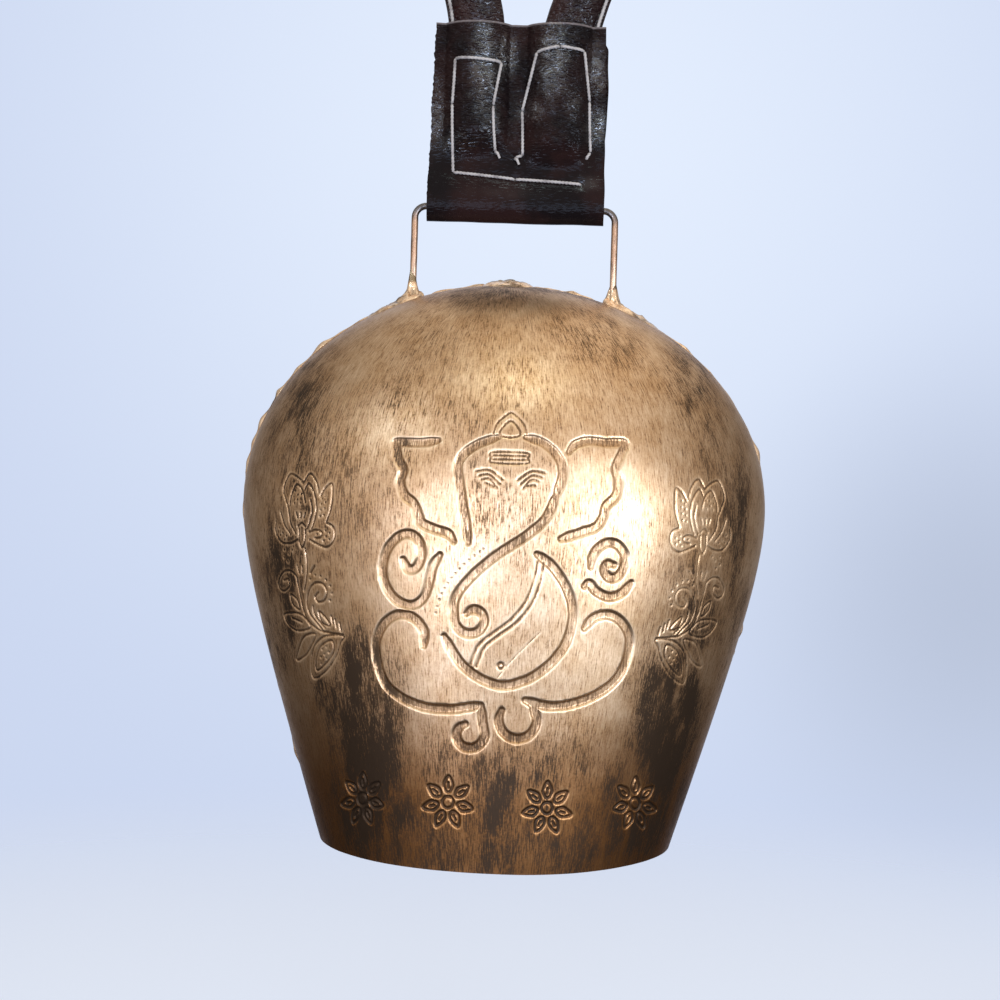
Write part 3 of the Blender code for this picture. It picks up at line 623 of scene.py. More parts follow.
spray_dots = [
    (-75.4, 3), (-74.4, 1.6), (-75.9, 0.8), (-74.6, -0.2), (-73.2, 1.8), (-73.4, -1.4), (-75.6, -1.6),
    (-65.6, 0.4), (-64.4, 1.4), (-65.8, -1.6), (-64.3, -0.9), (-66, -3.8), (-64.6, -3.2), (-66.2, -6),
    (-64.8, -5.6), (-64, -11.2), (-62.6, -12), (-63.8, -13.2), (-62.6, -14.2), (-64.6, -14.8),
    (-67, -12.5), (-80.6, -10.6), (-79.4, -12.4), (-80.2, -13.2), (-78, -13.4), (-78.6, -14.8),
    (-78.6, -18.4), (-76.9, -19.8), (-78.6, -21.2), (-75.8, -18.4), (-77.2, -22.6), (-69, -28.8),
    (-67.3, -27.2), (-65.3, -27.6), (-63.3, -28.9), (-61.7, -31), (-61, -33.6), (-61.6, -36.2),
    (-63.9, -53.8), (-62.4, -52.8), (-61.4, -54.8), (-63, -55.6), (-64.2, -56.6), (-62.2, -57), (-64, -59),
]
print("spray lines:", len(spray), "dots:", len(spray_dots))

# %% [markdown]
# The star flowers have seven pointed petals. The outline of each petal and a short mark inside it are pressed
# in. The outer flowers look narrower, because the metal turns away there.
# %% Star flowers
PETALS = 7
BUTTON_RADIUS = 2.1
PETAL_START, PETAL_WIDEST, PETAL_END, PETAL_HALF = 3.6, 6.0, 9.5, 1.65
MARK_START, MARK_END = 5.2, 7.0
flowers = []
for x, z, width in ((-48, -107.4, 0.80), (-17.2, -107.6, 0.96), (18.6, -108.6, 0.94), (50.2, -106, 0.82)):
    button = spiral(0, 0, BUTTON_RADIUS, BUTTON_RADIUS, 0, 360, 9)
    flowers.append(flow([(x + width * across, z + up) for across, up in button]))
    for petal in range(PETALS):
        turn = math.radians(90 + petal * 360 / PETALS)
        ahead = Vector((math.cos(turn), math.sin(turn)))
        aside = Vector((-ahead.y, ahead.x)) * PETAL_HALF
        middle = ahead * PETAL_WIDEST
        almond = [ahead * PETAL_START, middle + aside, ahead * PETAL_END, middle - aside]
        mark = [ahead * MARK_START, ahead * MARK_END]
        for line, closed in ((almond, True), (mark, False)):
            flowers.append(flow([(x + width * point.x, z + point.y) for point in line], closed))
print("flower lines:", len(flowers))

# %% [markdown]
# ## The shell's shape
# The dome is a squashed ellipsoid and the skirt tapers to the mouth after a rounded start. Both halves
# follow the same rule, so one function gives any point of the outer or inner face.
# %% Shell shape
CREASE_AT_MOUTH = 1.04
CREASE_AT_CROWN = 1.24
DOME_SHARE = 0.48


def shell_level(height):
    """Half width, half depth and seam crease of the shell at a height."""
    if height >= WIDEST_Z:
        sine = min((height - WIDEST_Z) / DOME_RISE, 1.0)
        cosine = math.sqrt(1.0 - sine * sine)
        crease = mix(CREASE_AT_MOUTH, CREASE_AT_CROWN, sine)
        return SHELL_HALF_WIDTH * cosine, SHELL_HALF_DEPTH * cosine, crease
    full = math.hypot(SKIRT, FLARE_ROUNDING) - FLARE_ROUNDING
    share = (math.hypot(WIDEST_Z - height, FLARE_ROUNDING) - FLARE_ROUNDING) / full
    half_width = mix(SHELL_HALF_WIDTH, MOUTH_HALF_WIDTH, share)
    return half_width, mix(SHELL_HALF_DEPTH, MOUTH_HALF_DEPTH, share), CREASE_AT_MOUTH


def height_at(share):
    """Height at a share of the way from the crown (0) to the mouth (1)."""
    if share < DOME_SHARE:
        return WIDEST_Z + DOME_RISE * math.sin(math.radians(90.0) * (1.0 - share / DOME_SHARE))
    return WIDEST_Z - SKIRT * (share - DOME_SHARE) / (1.0 - DOME_SHARE)


def shell_point(around, down, inset, side):
    """A point of a half shell; around and down run from 0 to 1, side is -1 for the front."""
    height = height_at(down)
    half_width, half_depth, crease = shell_level(height)
    if height >= WIDEST_Z:
        half_width *= 1.0 - inset / SHELL_HALF_WIDTH
        half_depth *= 1.0 - inset / SHELL_HALF_DEPTH
        height = WIDEST_Z + (height - WIDEST_Z) * (1.0 - inset / DOME_RISE)
    else:
        half_width -= inset
        half_depth -= inset
    sine = 0.0 if around in (0.0, 1.0) else math.sin(math.pi * around)
    depth = SEAM_HALF_GAP + half_depth * sine ** crease
    return Vector((half_width * math.cos(math.pi * around), side * depth, height))


def front_depth(x, height):
    """How far the front face stands before the seam plane."""
    half_width, half_depth, crease = shell_level(height)
    inner = 1.0 - (x / max(half_width, 1e-6)) ** 2
    return half_depth * max(inner, 0.0) ** (0.5 * crease)


def thrown(x, z):
    """The point of the front face that a spot of the flat drawing falls on, seen from the camera's place."""
    flat = Vector((x * MM, 0.0, WIDEST_Z + z * MM))
    reach = 0.0
    for _ in range(12):
        point = EYE + (flat - EYE) * (1.0 - reach / -EYE.y)
        reach = front_depth(point.x, point.z)
    return point


print("front face stands", round(front_depth(0.0, WIDEST_Z) / MM, 1), "mm before the seam")

# %% [markdown]
# ## Finding the lines on the metal
# Each kind of line becomes a tree of points on the shell. A tree answers quickly how far any spot of the
# metal is from the nearest line of that kind.
# %% Trees of the lines
END_GIRTH = 0.62
FADE_SAMPLES = 26


def tapered(line):
    """Widths along a line, as shares of the tool's, narrowing at both ends."""
    last = len(line) - 1
    from_end = [min(index, last - index) for index in range(last + 1)]
    return [mix(END_GIRTH, 1.0, smooth(count / FADE_SAMPLES)) for count in from_end]


def whole(line):
    return [1.0] * len(line)


dot_lines = [[spot] for spot in spray_dots + mirrored(spray_dots)]
trunk_row = [(-7, -16), (-13, -21), (-18.6, -27.4), (-22, -33.6), (-23.6, -40.4)]
dot_lines += [[spot] for spot in flow(trunk_row)[::16]]
spray_lines = spray + [mirrored(line) for line in spray]


def tool_of(lines, half, edge, depth, stain, girth=whole):
    """A tool's half width, edge and depth in millimetres, its stain, and the points that it pressed."""
    spots = [thrown(x, z) for line in lines for x, z in line]
    tree = KDTree(len(spots))
    for index, spot in enumerate(spots):
        tree.insert(spot, index)
    tree.balance()
    girths = [share for line in lines for share in girth(line)]
    return {"half": half, "edge": edge, "depth": depth, "stain": stain, "tree": tree, "girths": girths}


TOOLS = {
    "wide": tool_of(wide_lines, 1.38, 0.42, 0.60, 0.30, tapered),
    "fine": tool_of(fine_lines, 0.38, 0.32, 0.26, 0.75),
    "spray": tool_of(spray_lines, 0.27, 0.26, 0.34, 0.90),
    "dots": tool_of(dot_lines, 0.30, 0.28, 0.32, 0.90),
    "flower": tool_of(flowers, 0.44, 0.30, 0.42, 0.95),
    "scratch": tool_of([scratch], 0.10, 0.18, 0.14, 1.0),
}
print("points on lines:", {name: len(tool["girths"]) for name, tool in TOOLS.items()})

# %% [markdown]
# ## Front shell
# A plain grid is too coarse for the pressed lines, and a grid fine enough everywhere would be far too
# heavy. So only the faces near the edge of a line are cut finer, three times, each time in a narrower band.
# Then every corner is pushed in by the depth of its nearest line.
# %% Front shell mesh
SHELL_COLUMNS = 104
SHELL_ROWS = 94
LINE_LIMIT_Y = -8.0 * MM
MEAN_RADIUS = 77.0 * MM
LINE_REACH = 1.6
RIM_WIDTH = 0.45


def dent(point):
    """Slow unevenness of the hand-dished sheet, fading out at the seam and the mouth."""
    fade = smooth((abs(point.y) - 2.0 * MM) / (14.0 * MM))
    broad = 0.30 * MM * bumpy(point, 24.0, 3.0)
    small = 0.10 * MM * bumpy(point, 75.0, 8.0)
    return fade * (broad + small)


def outside(item):
    """Whether a corner or a face belongs to the outer side."""
    place = item.co if isinstance(item, bmesh.types.BMVert) else item.calc_center_median()
    return item.normal.dot(place - HEART) > 0.0


def plain_half(side):
    """Outer and inner faces of one half, joined at the seam and the rim."""
    bm = bmesh.new()
    for inset in (0.0, WALL):
        def place(i, j):
            return shell_point(i / SHELL_COLUMNS, j / SHELL_ROWS, inset, side)

        sheet(bm, SHELL_COLUMNS, SHELL_ROWS, place)
    bridged(bm)
    bm.normal_update()
    moves = [(corner, corner.normal * (1.0 if outside(corner) else -1.0)) for corner in bm.verts]
    for corner, way in moves:
        corner.co += way * dent(corner.co)
    bm.normal_update()
    return bm


def cut_finer(bm, wanted):
    """Halves the faces for which wanted(face) is true."""
    edges = set()
    for face in bm.faces:
        if wanted(face):
            edges.update(face.edges)
    bmesh.ops.subdivide_edges(bm, edges=list(edges), cuts=1, use_grid_fill=True)
    bm.normal_update()


def gap_to(tool, point):
    """Distance in millimetres from a point to the edge line of the nearest stroke; below 0 is inside."""
    _, index, reach = tool["tree"].find(point)
    return reach / MM - tool["half"] * tool["girths"][index]


def near_line(face, wide_reach, fine_reach):
    """Whether an outer face lies near the edge of a wide line, or near a fine one."""
    middle = face.calc_center_median()
    if middle.y > LINE_LIMIT_Y or not outside(face):
        return False
    if abs(gap_to(TOOLS["wide"], middle)) < wide_reach:
        return True
    return any(gap_to(tool, middle) < fine_reach for name, tool in TOOLS.items() if name != "wide")


def press(point):
    """Depth in metres, and how much stain and rubbing a point gets from the lines round it."""
    depth = stain = rub = 0.0
    wobble = 0.10 * bumpy(point, 420.0, 17.0)
    for tool in TOOLS.values():
        gap = gap_to(tool, point) + wobble
        if gap < LINE_REACH:
            share = smooth(0.5 - 0.5 * gap / tool["edge"])
            depth = max(depth, share * tool["depth"] * MM)
            stain = max(stain, share * tool["stain"])
            rub = max(rub, hump(gap - 0.75 * tool["edge"], RIM_WIDTH))
    return depth, stain, rub * (1.0 - stain)


# %% [markdown]
# The large dark patches are partly stain that was never rubbed back and partly painted shade, where the
# metal turns towards dark surroundings: low at both sides, down the far sides, along the mouth, along the
# crown and on the right shoulder. Each is a soft oval, given by its centre, its half sizes in millimetres
# and its strength.
# %% Stain and painted shade patches
STAIN_AND_SHADE_PATCHES = [
    (-43.0, -94.0, 10.0, 30.0, 0.95), (-50.0, -66.0, 9.0, 22.0, 0.65), (-30.0, -104.0, 14.0, 10.0, 0.5),
    (58.0, -74.0, 10.0, 30.0, 0.80), (48.0, -104.0, 14.0, 16.0, 0.55), (12.0, 74.0, 44.0, 5.0, 0.38),
    (66.0, 40.0, 12.0, 24.0, 0.38), (63.0, -42.0, 8.0, 26.0, 0.45), (-36.0, 22.0, 9.0, 20.0, 0.26),
    (2.0, -98.0, 5.0, 9.0, 0.75),
    (-70.0, 18.0, 12.0, 36.0, 0.45), (78.0, -12.0, 8.0, 40.0, 0.45), (-74.0, -30.0, 8.0, 30.0, 0.6),
    (0.0, -112.0, 70.0, 20.0, 0.44), (-2.0, 12.0, 18.0, 22.0, 0.22), (-30.0, 56.0, 24.0, 12.0, 0.16),
    (6.0, -88.0, 44.0, 16.0, 0.36), (30.0, 62.0, 22.0, 10.0, 0.25), (-58.0, -6.0, 14.0, 30.0, 0.25),
]


def stain_and_shade_at(point, side):
    """Strength of the patches at a point; the back half has the same ones turned over."""
    x, z = -side * point.x / MM, (point.z - WIDEST_Z) / MM
    x += 7.0 * bumpy(point, 38.0, 21.0)
    z += 9.0 * bumpy(point, 38.0, 33.0)
    upright = Vector((point.x, point.y, 0.16 * point.z))
    # Stain and painted shade of the dark patches, streaked upright.
    total = strongest(STAIN_AND_SHADE_PATCHES, x, z, 0.7)
    return total * (1.0 + 0.75 * bumpy(upright, 240.0, 44.0) + 0.45 * bumpy(upright, 620.0, 47.0))


def brush_place(point, side):
    """The point laid out flat in metres: round the bell, front or back, and down from the crown."""
    half_width = max(shell_level(point.z)[0], MM)
    round_it = MEAN_RADIUS * math.acos(min(max(point.x / half_width, -1.0), 1.0))
    rise = min(max((point.z - WIDEST_Z) / DOME_RISE, 0.0), 1.0)
    down = MEAN_RADIUS * math.acos(rise) + max(WIDEST_Z - point.z, 0.0)
    return Vector((round_it, 0.5 * side, down))


def paint(bm, side):
    """Presses the lines into the front and stores the three numbers the finish reads."""
    layers = {name: bm.verts.layers.float.new(name) for name in ("pressed", "rubbed", "stain_and_shade")}
    brush = bm.verts.layers.float_vector.new("brush")
    pushes = []
    for corner in bm.verts:
        corner[brush] = brush_place(corner.co, side)
        # The dark patches stored here are partly painted shade.
        corner[layers["stain_and_shade"]] = stain_and_shade_at(corner.co, side)
        if side < 0.0 and corner.co.y < LINE_LIMIT_Y and outside(corner):
            depth, corner[layers["pressed"]], corner[layers["rubbed"]] = press(corner.co)
            if depth > 0.0:
                pushes.append((corner, corner.normal * depth))
    for corner, push in pushes:
        corner.co -= push
    for face in bm.faces:
        if not outside(face):
            face.material_index = 1


bm = plain_half(-1.0)
for wide_reach, fine_reach in ((2.4, 2.0), (1.25, 1.1), (0.58, 0.62)):
    cut_finer(bm, lambda face: near_line(face, wide_reach, fine_reach))
paint(bm, -1.0)
front_shell = finished(bm, "front_half", "bell", ["front_shell"], brass, 60.0)
front_shell.data.materials.append(inside_brass)
print("front half:", sum(len(face.vertices) - 2 for face in front_shell.data.polygons), "triangles")

# %% [markdown]
# ## Back shell
# The back half is plain: the same dished sheet without the line work.
# %% Back shell mesh
bm = plain_half(1.0)
paint(bm, 1.0)
back_shell = finished(bm, "back_half", "bell", ["back_shell"], brass, 60.0)
back_shell.data.materials.append(inside_brass)

# %% [markdown]
# ## Braze
# Braze is bright, coppery and lumpy: it was melted along the seam and left as it ran. Each bead is a
# half-round strip whose width and height wander, with a few larger lumps where the rod paused.
# %% Braze material
BRAZE, TARNISHED = (0.98, 0.70, 0.46), (0.66, 0.40, 0.22)
BRAZE_SCALE, CREST = (0.09, 0.055, 0.035), (0.17, 0.12, 0.06)
braze, tree, shader = new_material("bright_braze")
place, height = own_place(tree)
tarnish = patchy(tree, place, 420.0, 0.42, 0.68)
colour = blended(tree, tarnish, BRAZE, TARNISHED)
colour = blended(tree, patchy(tree, place, 120.0, 0.5, 0.72), colour, BRAZE_SCALE)
colour = blended(tree, ramp(tree, height, CROWN_Z - 0.4 * MM, CROWN_Z + 1.2 * MM, 0.0, 0.85), colour, CREST)
put(tree, shader, Base_Color=colour, Metallic=0.82, Roughness=ramp(tree, tarnish, 0.0, 1.0, 0.20, 0.42))
put(tree, shader, Normal=bumped(tree, tarnish, 0.3, 0.0002))
print("material", braze.name)

# %% [markdown]
# A bead's path is the seam line itself. Its section is a half circle whose flat side sinks a little into
# the metal; noise makes it wander, and each lump adds a soft hump where the rod paused.
# %% Seam beads
BEAD_SIDES = 12
BEAD_SINK = 0.35 * MM


def seam_place(hand, down):
    """A point of the seam line; hand is -1 on the left and 1 on the right."""
    height = height_at(down)
    return Vector((hand * shell_level(height)[0], 0.0, height))


def down_at(x):
    """Share of the way down at which the dome's seam line passes over x."""
    return DOME_SHARE * math.asin(min(abs(x) / SHELL_HALF_WIDTH, 1.0)) / math.radians(90.0)


def bead(name, hand, start, end, lumps, body_node, size=1.0):
    """A wandering half-round bead; lumps are (share down, length share, extra height in mm)."""
    rows = max(12, round(abs(end - start) * 330))
    line = []
    for row in range(rows + 1):
        down = mix(start, end, row / rows)
        here = seam_place(hand, down)
        along = seam_place(hand, min(down + 0.003, 1.0)) - seam_place(hand, max(down - 0.003, 0.0))
        along.normalize()
        outward = Vector((-along.z, 0.0, along.x))
        if outward.dot(here - HEART) < 0.0:
            outward.negate()
        line.append((here, -BACKWARD, outward))

    def section(i, j):
        down = mix(start, end, j / rows)
        here = line[j][0]
        wander = 0.5 + 0.5 * bumpy(here, 105.0, 5.0)
        fine = 0.5 + 0.5 * bumpy(here, 330.0, 9.0)
        rise = size * (0.25 + 0.75 * wander * wander + 0.45 * fine * fine)
        rise += sum(extra * hump(down - lump_down, length) for lump_down, length, extra in lumps)
        taper = smooth(min(j, rows - j) / 3.0)
        half = (1.5 + 0.95 * wander + 0.3 * rise) * MM * mix(0.4, 1.0, taper)
        rise *= MM * mix(0.3, 1.0, taper)
        angle = around_at(i, BEAD_SIDES)
        lift = math.sin(angle)
        shift = mix(2.1, 0.3, smooth((down - 0.35) / 0.3)) * MM + 0.5 * MM * bumpy(here, 90.0, 14.0)
        return shift + half * math.cos(angle), (rise if lift > 0.0 else 0.25 * MM) * lift - BEAD_SINK

    bm = sweep(line, section, BEAD_SIDES)
    return finished(bm, name, "bell", [body_node], braze, 70.0)


FOOT_MARGIN = 0.02
foot_x = {"left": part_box("bail")[0].x + WIRE_RADIUS, "right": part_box("bail")[1].x - WIRE_RADIUS}
foot_down = {hand: down_at(x) for hand, x in foot_x.items()}
left_lumps = [(0.245, 0.012, 0.9), (0.285, 0.010, 0.7), (0.325, 0.008, 1.1), (0.37, 0.012, 1.0)]
left_lumps += [(0.40, 0.010, 0.8), (0.43, 0.012, 0.9), (0.875, 0.020, 1.1)]
right_lumps = [(0.225, 0.010, 0.7), (0.395, 0.012, 1.1), (0.665, 0.012, 1.0), (0.70, 0.008, 0.7)]
left_drop = [(down_at(12.0 * MM), 0.012, 0.6)]
right_drop = [(down_at(22.0 * MM), 0.006, 0.8)]
left_start, right_start = foot_down["left"] + FOOT_MARGIN, foot_down["right"] + FOOT_MARGIN
left_end, right_end = foot_down["left"] - FOOT_MARGIN, foot_down["right"] - FOOT_MARGIN
bead("left_seam_bead", -1, left_start, 1.0, left_lumps, "left_seam_braze")
bead("right_seam_bead", 1, right_start, 1.0, right_lumps, "right_seam_braze", 0.75)
bead("left_crown_bead", -1, down_at(7.0 * MM), left_end, left_drop, "left_crown_braze", 1.1)
bead("right_crown_bead", 1, down_at(6.0 * MM), right_end, right_drop, "right_crown_braze", 1.2)

# %% [markdown]
# Round each foot of the bail the braze makes a pool that climbs the wire and runs down the seam. It is a
# ring-shaped sheet: its top follows the dome plus a fillet, and its underside hides just below the metal.
# %% Foot pools and crown lump
POOL_SIDES = 80
POOL_RINGS = 14


def dome_top(x, y):
    """Height of the dome over a spot near the crown."""
    low, high = 0.0, 1.0
    for _ in range(30):
        cosine = 0.5 * (low + high)
        sine = math.sqrt(1.0 - cosine * cosine)
        crease = mix(CREASE_AT_MOUTH, CREASE_AT_CROWN, sine)
        across = abs(x) / (SHELL_HALF_WIDTH * cosine)
        deep = (max(abs(y) - SEAM_HALF_GAP, 0.0) / (SHELL_HALF_DEPTH * cosine)) ** (2.0 / crease)
        if across * across + deep > 1.0:
            low = cosine
        else:
            high = cosine
    return WIDEST_Z + DOME_RISE * math.sqrt(1.0 - high * high)


def pool(name, centre, inner, reach, climb, body_node, lumpy=1.0):
    """A pool of braze on the dome; reach(angle) is its edge, climb(distance) its height, both in metres."""
    def place(i, j):
        angle = around_at(i, POOL_SIDES)
        share = min(j, 2 * POOL_RINGS - j) / POOL_RINGS
        distance = mix(inner, reach(angle), share)
        x = centre.x + distance * math.cos(angle)
        y = centre.y + distance * math.sin(angle)
        top = dome_top(x, y)
        if j > POOL_RINGS:
            return Vector((x, y, top - 0.5 * MM))
        lumps = 0.7 * bumpy((x, y, 0.0), 330.0, 2.0) + 0.5 * bumpy((x, y, 0.0), 800.0, 5.0)
        swell = climb(distance, share) * (1.0 + lumpy * lumps)
        return Vector((x, y, top + max(swell, -0.2 * MM) - 0.15 * MM * smooth((share - 0.85) / 0.15)))

    bm = bmesh.new()
    sheet(bm, POOL_SIDES, 2 * POOL_RINGS, place)
    if inner > 0.0:
        bridged(bm)
    else:
        close_up(bm)
    return finished(bm, name, "bell", [body_node], braze, 70.0)


def foot_climb(distance, share):
    fillet = 6.0 * MM * math.exp(-(distance - 1.2 * MM) / (0.95 * MM))
    return fillet + 1.5 * MM * math.sqrt(max(1.0 - share * share, 0.0))


def foot_reach(hand, length):
    """An edge that runs out along the seam, away from the crown."""

    def reach(angle):
        along = max(0.0, hand * math.cos(angle + 0.17 * hand))
        wobble = 0.5 * bumpy((math.cos(angle), math.sin(angle), hand), 1.6, 4.0)
        return (3.0 + length * along ** 3 + 3.2 * max(0.0, -math.sin(angle)) + wobble) * MM

    return reach


for hand, way, length in (("left", -1.0, 13.0), ("right", 1.0, 14.0)):
    centre = Vector((foot_x[hand], 0.0, 0.0))
    pool(hand + "_foot_pool", centre, 1.15 * MM, foot_reach(way, length), foot_climb, hand + "_foot_braze")


def lump_reach(angle):
    wobble = 0.6 * bumpy((math.cos(angle), math.sin(angle), 0.0), 1.9, 6.0)
    return (6.8 + 2.6 * abs(math.cos(angle)) ** 1.5 + wobble) * MM


def lump_climb(distance, share):
    return 1.5 * MM * max(1.0 - share ** 3, 0.0)


pool("crown_lump", Vector((-0.8 * MM, -7.0 * MM, 0.0)), 0.0, lump_reach, lump_climb, "staple_braze", 0.7)

# %% [markdown]
# ## Bail
# The bail is one length of soft wire bent by hand. It is dark and steely at the bends, where the plating
# was hammered off, and coppery down the legs. The colour follows the height, so it needs no extra pieces.
# %% Bail
BAIL_BEND = 4.2 * MM
BAIL_SIDES = 20
COPPER, STEEL, WIRE_STAIN = (0.95, 0.66, 0.46), (0.15, 0.13, 0.12), (0.06, 0.045, 0.035)
bail_metal, tree, shader = new_material("coppered_wire")
place, height = own_place(tree)
streak = use_group(tree, streaks, Vector=place, Fineness=900.0, Stretch=5.0)[0]
colour = blended(tree, ramp(tree, height, BAR_Z - 16.0 * MM, BAR_Z - 30.0 * MM), (0.50, 0.30, 0.19), COPPER)
colour = blended(tree, ramp(tree, height, BAR_Z - 7.0 * MM, BAR_Z - 1.0 * MM), colour, STEEL)
colour = blended(tree, ramp(tree, streak, 0.48, 0.66, 0.0, 0.6), colour, WIRE_STAIN)
put(tree, shader, Base_Color=colour, Metallic=0.95, Roughness=ramp(tree, streak, 0.3, 0.7, 0.26, 0.5))
put(tree, shader, Normal=bumped(tree, streak, 0.4, 0.0002))


def arc_points(x, z, radius, start, end, steps):
    points = []
    for step in range(steps + 1):
        angle = math.radians(mix(start, end, step / steps))
        points.append(Vector((x + radius * math.cos(angle), 0.0, z + radius * math.sin(angle))))
    return points


def straight(start, end, step):
    count = max(1, round((end - start).length / step))
    return [start.lerp(end, index / count) for index in range(count)]


bend_z = BAR_Z - BAIL_BEND
left_bend = arc_points(foot_x["left"] + BAIL_BEND, bend_z, BAIL_BEND, 180.0, 90.0, 12)
right_bend = arc_points(foot_x["right"] - BAIL_BEND, bend_z, BAIL_BEND, 90.0, 0.0, 12)
left_base, right_base = (Vector((x, 0.0, dome_top(x, 0.0) + 0.1 * MM)) for x in foot_x.values())
bail_points = straight(left_base, left_bend[0], 1.2 * MM) + left_bend[:-1]
bail_points += straight(left_bend[-1], right_bend[0], 1.6 * MM) + right_bend[:-1]
bail_points += straight(right_bend[-1], right_base, 1.2 * MM) + [right_base]
bail_line = carried_frames(bail_points, BACKWARD)


def bail_section(i, j):
    point = bail_line[j][0]
    angle = around_at(i, BAIL_SIDES)
    radius = WIRE_RADIUS * (0.97 + 0.035 * bumpy(point + Vector((0.0, 0.0, 0.0004 * i)), 260.0, 11.0))
    return radius * math.cos(angle), radius * math.sin(angle)


bail_mesh = sweep(bail_line, bail_section, BAIL_SIDES)
finished(bail_mesh, "wire_bail", "bell", ["bail"], bail_metal)

# %% [markdown]
# ## Leather
# The tab and the strap are the same dark, waxed leather. The wax makes it glossy; the grain breaks the
# gloss into fine bright specks; handled places are smoother and redder.
# %% Leather material


GRAIN_SQUEEZE = (0.34, 0.34, 1.0)
CUT_EDGE = (0.14, 0.11, 0.10)
SMOOTH_BELOW = BAR_Z + 22.0 * MM


def leather_finish(name, deep, worn, fineness, plain_gloss, waxed_gloss, smooth_below=None):
    """Grained leather; the tab is smoother below a height and pale along its cut top edge."""
    material, tree, shader = new_material(name)
    place, height = own_place(tree)
    squeezed = node(tree, "ShaderNodeVectorMath", {"operation": "MULTIPLY"}, in0=place, in1=GRAIN_SQUEEZE)
    pads = use_group(tree, grain, Vector=squeezed.outputs[0], Fineness=fineness)[0]
    pores = patchy(tree, place, 900.0, 0.35, 0.7)
    folds = patchy(tree, place, 160.0, 0.32, 0.68)
    colour = blended(tree, patchy(tree, place, 45.0, 0.38, 0.66), deep, worn)
    relief = weighted(tree, (pads, 0.8), (pores, 0.06), (folds, 1.0))
    if smooth_below is not None:
        rough_part = ramp(tree, height, smooth_below - 10.0 * MM, smooth_below + 12.0 * MM, 0.18, 1.0)
        relief = maths(tree, "MULTIPLY", relief, rough_part)
        cut_top = ramp(tree, height, tab_high.z - 0.9 * MM, tab_high.z - 0.3 * MM)
        colour = blended(tree, cut_top, colour, CUT_EDGE)
    gloss = ramp(tree, stored(tree, "waxed"), 0.0, 1.0, plain_gloss, waxed_gloss)
    put(tree, shader, Base_Color=colour, Roughness=ramp(tree, pores, 0.0, 1.0, 0.16, 0.23))
    put(tree, shader, Normal=bumped(tree, relief, 1.0, 0.00036), Specular_IOR_Level=gloss)
    return material


TAB_BROWN, WORN_TAB = (0.006, 0.004, 0.004), (0.016, 0.007, 0.006)
STRAP_BROWN, WORN_STRAP = (0.009, 0.004, 0.004), (0.024, 0.008, 0.007)
tab_leather = leather_finish("waxed_tab_leather", TAB_BROWN, WORN_TAB, 900.0, 0.06, 1.0, SMOOTH_BELOW)
strap_leather = leather_finish("waxed_strap_leather", STRAP_BROWN, WORN_STRAP, 950.0, 0.26, 0.26)
print("materials", tab_leather.name, strap_leather.name)

# %% [markdown]
# ## Stitch places
# The tab is sewn by hand with long stitches: one thread goes round the left strap end and along the bottom,
# and one goes round the right strap end. Each corner here is a hole. They are given across from the middle
# of the tab and up from the bar, in millimetres.
# %% Stitch holes
left_holes = [
    (-7, 19.5), (-8.2, 35.4), (-5.6, 51), (-22.2, 52), (-22.8, 35.8), (-21.9, 11.9), (0.4, 9.9),
    (24.2, 8.7),
]
right_holes = [
    (0, 17.4), (2.8, 18.6), (2.2, 34.6), (6.9, 55), (15, 56.8), (23.8, 56), (26.2, 38.5), (27.1, 20.5),
    (25.4, 17.8),
]
stitch_runs = [(a, b) for holes in (left_holes, right_holes) for a, b in zip(holes, holes[1:])]
print("stitches:", len(stitch_runs))

# %% [markdown]
# ## Tab
# The tab is a strip of leather folded round the bar. The flaps bulge over the rolled strap ends, lie close
# together beside them, and are pinched at the stitches. One function gives how far the outer face stands
# from the middle; the sheet follows it down the front, round the fold and up the back, and a second sheet
# is the inner face.
# %% Tab shape
TAB_TOP = (tab_high.z - BAR_Z) / MM
ROLLS = ((-14.2, 22.0), (15.0, 18.5))
FLAT_HALF = 2.7
ROLL_LIFT = 5.0
FOLD_HALF = 4.1
FOLD_DROP = 5.4
FOLD_TOP = 2.4
FOLD_SHARE = 0.17
BORE = 1.62
LEATHER = 2.0
THINNEST = 0.18


def from_run(x, h, run):
    """Distance in millimetres from a spot to a stitch."""
    (x0, h0), (x1, h1) = run
    length = (x1 - x0) ** 2 + (h1 - h0) ** 2
    share = min(max(((x - x0) * (x1 - x0) + (h - h0) * (h1 - h0)) / length, 0.0), 1.0)
    return math.hypot(x - x0 - share * (x1 - x0), h - h0 - share * (h1 - h0))


def tab_half(x, h, side):
    """Half thickness of the tab in millimetres, over x and the height h above the bar."""
    half = FLAT_HALF + 0.35 * bumpy((0.03 * x, side, 0.03 * h), 3.0, 2.0)
    for centre, end in ROLLS:
        bulge = max(1.0 - ((x - centre) / 11.6) ** 2, 0.0) ** 0.8
        half += ROLL_LIFT * bulge * smooth((h - end + 6.0) / 12.0)
    edge = smooth((abs(x) - 24.0) / 8.0) * smooth((h - 26.0) / 14.0)
    half += 1.3 * edge * (0.6 + 0.5 * bumpy((0.0, side, 0.08 * h), 1.0, 7.0))
    pinch = smooth((h - FOLD_TOP) / 14.0)
    half = mix(FOLD_HALF, half, pinch)
    near = min(from_run(x, h, run) for run in stitch_runs)
    half -= 0.38 * hump(near, 1.8)
    holes = min(math.hypot(x - hx, h - hh) for hx, hh in left_holes + right_holes)
    half -= 0.45 * hump(holes, 1.3)
    crumple = bumpy((0.16 * x, side, 0.30 * h), 1.0, 12.0) + 0.5 * bumpy((0.5 * x, side, 0.8 * h), 1.0, 19.0)
    half += 0.20 * crumple * smooth((h - 14.0) / 10.0)
    return max(half, 2.25)


